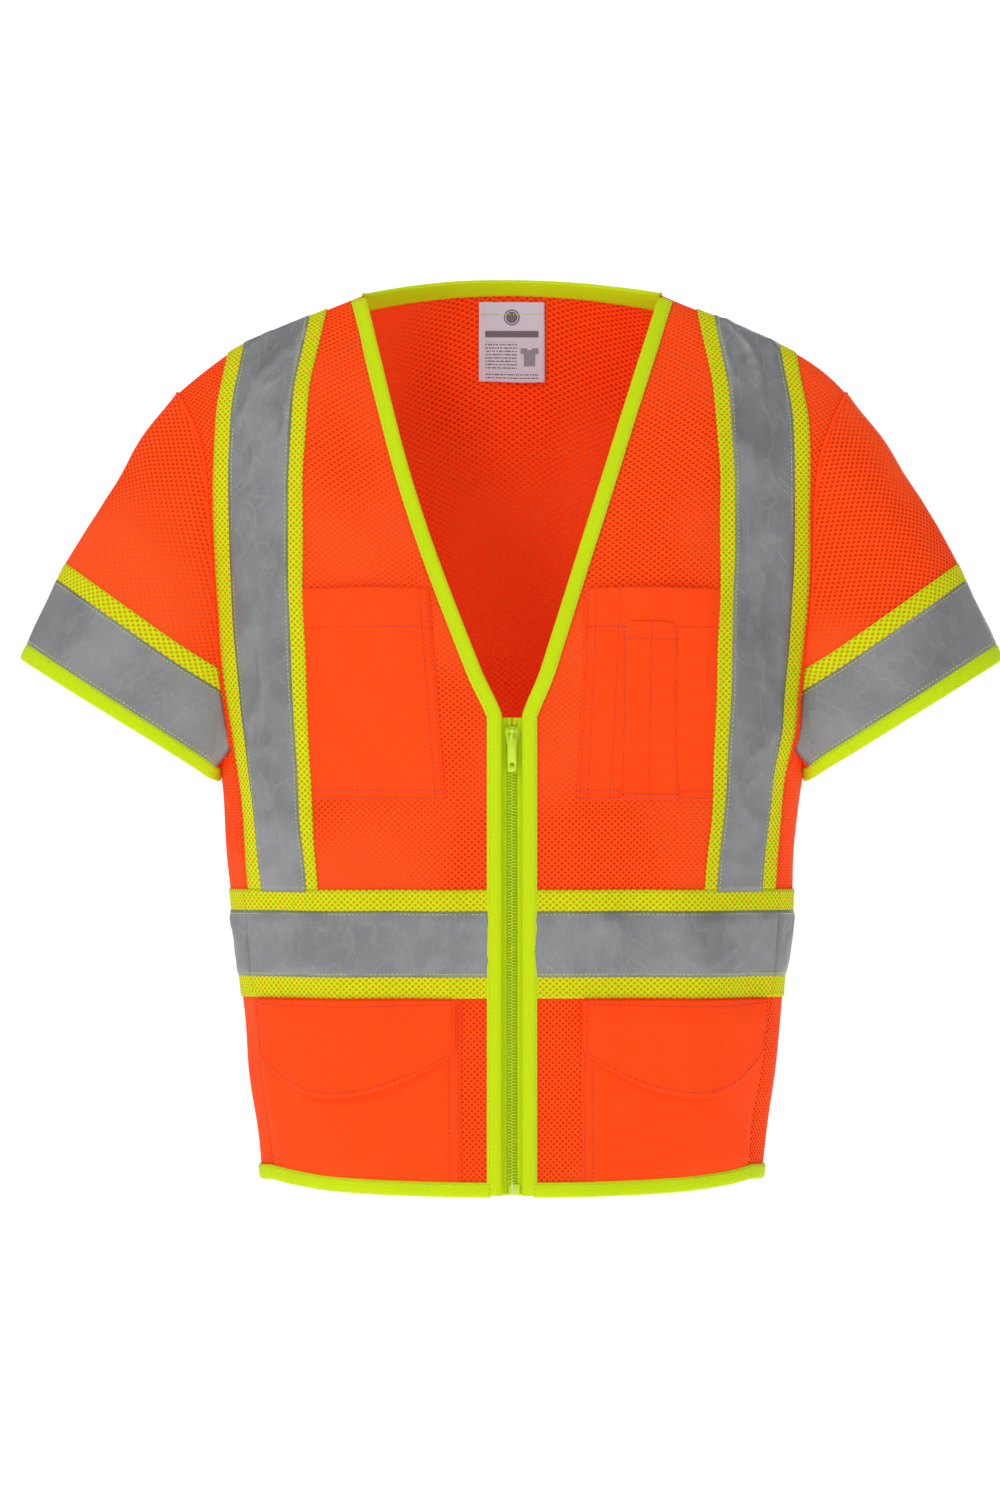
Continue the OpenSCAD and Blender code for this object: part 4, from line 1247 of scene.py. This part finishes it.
def makePullTab():      # a flat tab with a neck, a hole near its end and a barrel on the slider's pin
    pivot, plane = zipper["sliderHigh"] - 0.0035, zipper["plane"] + 0.0059
    eye, holeR, half = -zipper["pullLong"] + 0.006, 0.0016, 0.0008
    angle = np.arange(120) * math.tau / 120
    reach = np.linspace(0, 0.03, 1500)[:, None]
    x, s = reach * np.cos(angle), eye + reach * np.sin(angle)
    wide = 0.0036 - 0.0004 * smooth((s + 0.010) / 0.008)
    corner = 0.0022
    low = -zipper["pullLong"] + corner
    past = lambda value: np.clip(value, 0, 1)
    inPlate = (np.hypot(past(np.abs(x) - wide + corner), past(low - s)) < corner) & (s < -0.0054)
    inPlate &= np.hypot(past(np.abs(x) - wide + 0.001), past(s + 0.0064)) < 0.001
    inNeck = (np.abs(x) < 0.0020) & (s > -0.0070) & (s < -0.0012)
    edge = (reach * (inPlate | inNeck)).max(0)
    layers = [(0, holeR, half * 0.6), (0, holeR + 0.0002, half), (1, -0.0009, half),
              (1, -0.0007, half * 0.72), (1, -0.0005, half), (1, -0.0002, half * 0.9),
              (1, 0, half * 0.5), (1, 0, -half * 0.5), (1, -0.0002, -half * 0.9), (1, -0.0005, -half),
              (0, holeR + 0.0002, -half), (0, holeR, -half * 0.6)]        # outer or hole, reach, stand-off
    points = []
    for outer, grow, out in layers:
        r = edge + grow if outer else grow + 0 * edge
        points.append(zipPoint(r * np.cos(angle), plane + out, pivot + eye + r * np.sin(angle)))
    faces = ringFaces(len(layers), len(angle), True)
    zipRide(outward(meshObject("pullTab", np.stack(points), faces, zipPlastic)), "pull_tab", "pull_tab")
    ring = np.arange(32) * math.tau / 32
    layers = [(-0.0020, 0.0011), (-0.0020, 0.0016), (-0.0018, 0.0019), (0.0018, 0.0019), (0.0020, 0.0016),
              (0.0020, 0.0011)]
    points = [zipPoint(x + 0 * ring, plane + r * np.cos(ring), pivot + r * np.sin(ring)) for x, r in layers]
    faces = ringFaces(len(layers), len(ring), True)
    zipRide(outward(meshObject("pullBarrel", np.stack(points), faces, zipPlastic)), "pull_tab")


for side in (1, -1):
    makeTeeth(side)
    makeZipTape(side)
makeZipEnds()
makeSlider()
makePullTab()

label = {"half": 0.026, "top": -0.002, "low": -0.0645, "thick": 0.0005}


def labelCloth():       # grey care label with a round mark, a dark bar and rows of unreadable dashes
    paint = Paint("labelCloth", Roughness=0.62)
    u, v = paint.cloth()[:2]        # metres from the label's middle and from its top edge
    away = lambda x, y: ((u - x) ** 2 + (v - y) ** 2) ** 0.5
    soft = 0.00015
    inside = lambda value, low, high: value.rise(low - soft, low) * (1 - value.rise(high, high + soft))
    disc = 1 - away(0.0, 0.012).rise(0.0062, 0.0064)
    hollow = inside(away(0.0, 0.012), 0.0046, 0.0051)
    bar = inside(u, -0.021, 0.021) * inside(v, 0.0225, 0.0275)
    line = v / 0.0026
    rows = line.fract().rise(0.55, 0.62)
    inLine = paint.node("ShaderNodeCombineXYZ", None, [u, line.floor() * 0.01, 0.0])
    words = paint.noise(1, 1, paint.stretched(inLine, (900, 5000, 1))).rise(0.44, 0.48)
    block = (inside(u, -0.021, 0.004) * inside(v, 0.031, 0.0535)).most(
        inside(u, -0.021, 0.021) * inside(v, 0.0545, 0.060))
    shirt = inside(u, 0.0095, 0.0185) * inside(v, 0.036, 0.050)
    sleeves = inside(u, 0.0070, 0.0210) * inside(v, 0.036, 0.0405)
    neck = 1 - away(0.014, 0.0352).rise(0.0022, 0.0024)
    icon = shirt.most(sleeves) * (1 - neck)
    dark = (disc * (1 - hollow)).most(bar).most(rows * words * block).most(icon * 0.75)
    weave = ((u * (math.tau / 0.0005)).sin() * (v * (math.tau / 0.0005)).sin()) * 0.5 + 0.5
    paint.feed("Base Color", paint.colour(dark * 0.85, shades["label"], shades["ink"]))
    paint.feed("Roughness", 0.55 + 0.2 * weave)
    paint.bump(weave, 0.0001, 0.5)
    return paint.material


def makeLabel():
    u, t = np.meshgrid(np.linspace(0, 1, 40), np.linspace(0, 1, 48))
    x, z = mix(label["half"], -label["half"], u), mix(label["low"], label["top"], t)
    curl = -0.0012 - 0.0012 * (1 - t) - 0.0010 * (1 - t) ** 3 * np.sin(np.pi * u * 1.5 + 0.4)
    points = body(180 - frontAngle(x, z), z, curl)
    uvs = np.stack([x, label["top"] - z], -1)
    piece = sheetPiece("sizeLabel", points, label["thick"], labelCloth(), uvs=uvs)
    hang(piece, "shell", "label_cloth", "size_label")
    s = np.linspace(0, 1, 60)
    x, z = mix(-0.0245, 0.0245, s), label["top"] - 0.0095 + 0 * s
    points = body(180 - frontAngle(x, z), z, -0.0018)
    normals = points - body(180 - frontAngle(x, z), z, -0.0008)
    stitches("labelSeam", points, normals, limeThread, "shell", "label_cloth")


makeLabel()

stage = {"floor": -0.86, "reach": 30.0, "dome": 34.0}


def makeStage():        # a wide pale floor inside a white dome that only the camera sees
    far = stage["reach"]
    paint = Paint("paleFloor", Base_Color=(0.88, 0.88, 0.88, 1), Roughness=0.9,
                  Emission_Color=(1, 1, 1, 1), Emission_Strength=0.93)
    floor = meshObject("floor", [(x, y, stage["floor"]) for y in (-far, far) for x in (-far, far)],
                       [[0, 1, 3, 2]], paint.material)
    turn, tilt = np.meshgrid(np.radians(np.arange(0, 361, 15)), np.radians(np.arange(-90, 91, 15)))
    ball = np.stack([np.cos(tilt) * np.cos(turn), np.cos(tilt) * np.sin(turn), np.sin(tilt)], -1)
    paint = Paint("paleDome", Base_Color=(0, 0, 0, 1), Roughness=1.0, Specular_IOR_Level=0.0,
                  Emission_Color=(1, 1, 1, 1), Emission_Strength=1.1)
    dome = meshObject("dome", ball * stage["dome"], gridFaces(*turn.shape), paint.material)
    dome.visible_diffuse = dome.visible_glossy = dome.visible_transmission = dome.visible_shadow = False


def addLight(name, place, target, size, power):
    lamp = bpy.data.lights.new(name, "AREA")
    lamp.size, lamp.energy = size, power
    stand = bpy.data.objects.new(name, lamp)
    stand.location = place
    stand.rotation_euler = (Vector(target) - Vector(place)).to_track_quat("-Z", "Y").to_euler()
    bpy.context.scene.collection.objects.link(stand)


def setScene():
    middle = (0, 0, -0.35)
    addLight("key", (-1.7, -2.2, 1.6), middle, 0.9, 38)
    addLight("fill", (0.9, -4.2, 0.1), middle, 1.4, 16)
    addLight("top", (0.1, -0.3, 2.2), middle, 1.0, 21)
    addLight("rimLeft", (-2.4, 1.0, 0.6), middle, 1.8, 10)
    addLight("rimRight", (2.4, 1.0, 0.6), middle, 1.8, 10)
    addLight("back", (0.9, 3.4, 0.8), middle, 1.6, 34)
    world = bpy.data.worlds.new("studio")
    world.use_nodes = True
    world.node_tree.nodes["Background"].inputs["Color"].default_value = (1, 1, 1, 1)
    world.node_tree.nodes["Background"].inputs["Strength"].default_value = 0.19
    bpy.context.scene.world = world
    lens = bpy.data.cameras.new("camera")
    lens.sensor_fit, lens.sensor_width = "AUTO", 36
    lens.lens = 36 * 12.0 / 1.1625      # 1.16 m of height fills the frame 12 m away
    eye = bpy.data.objects.new("camera", lens)
    eye.location = (-0.0093, -12.10, -0.355)
    lens.clip_end = 80
    eye.rotation_euler = (math.radians(90), 0, 0)
    bpy.context.scene.collection.objects.link(eye)
    bpy.context.scene.camera = eye
    bpy.context.scene.view_settings.view_transform = "Standard"


print("studio")
makeStage()
setScene()
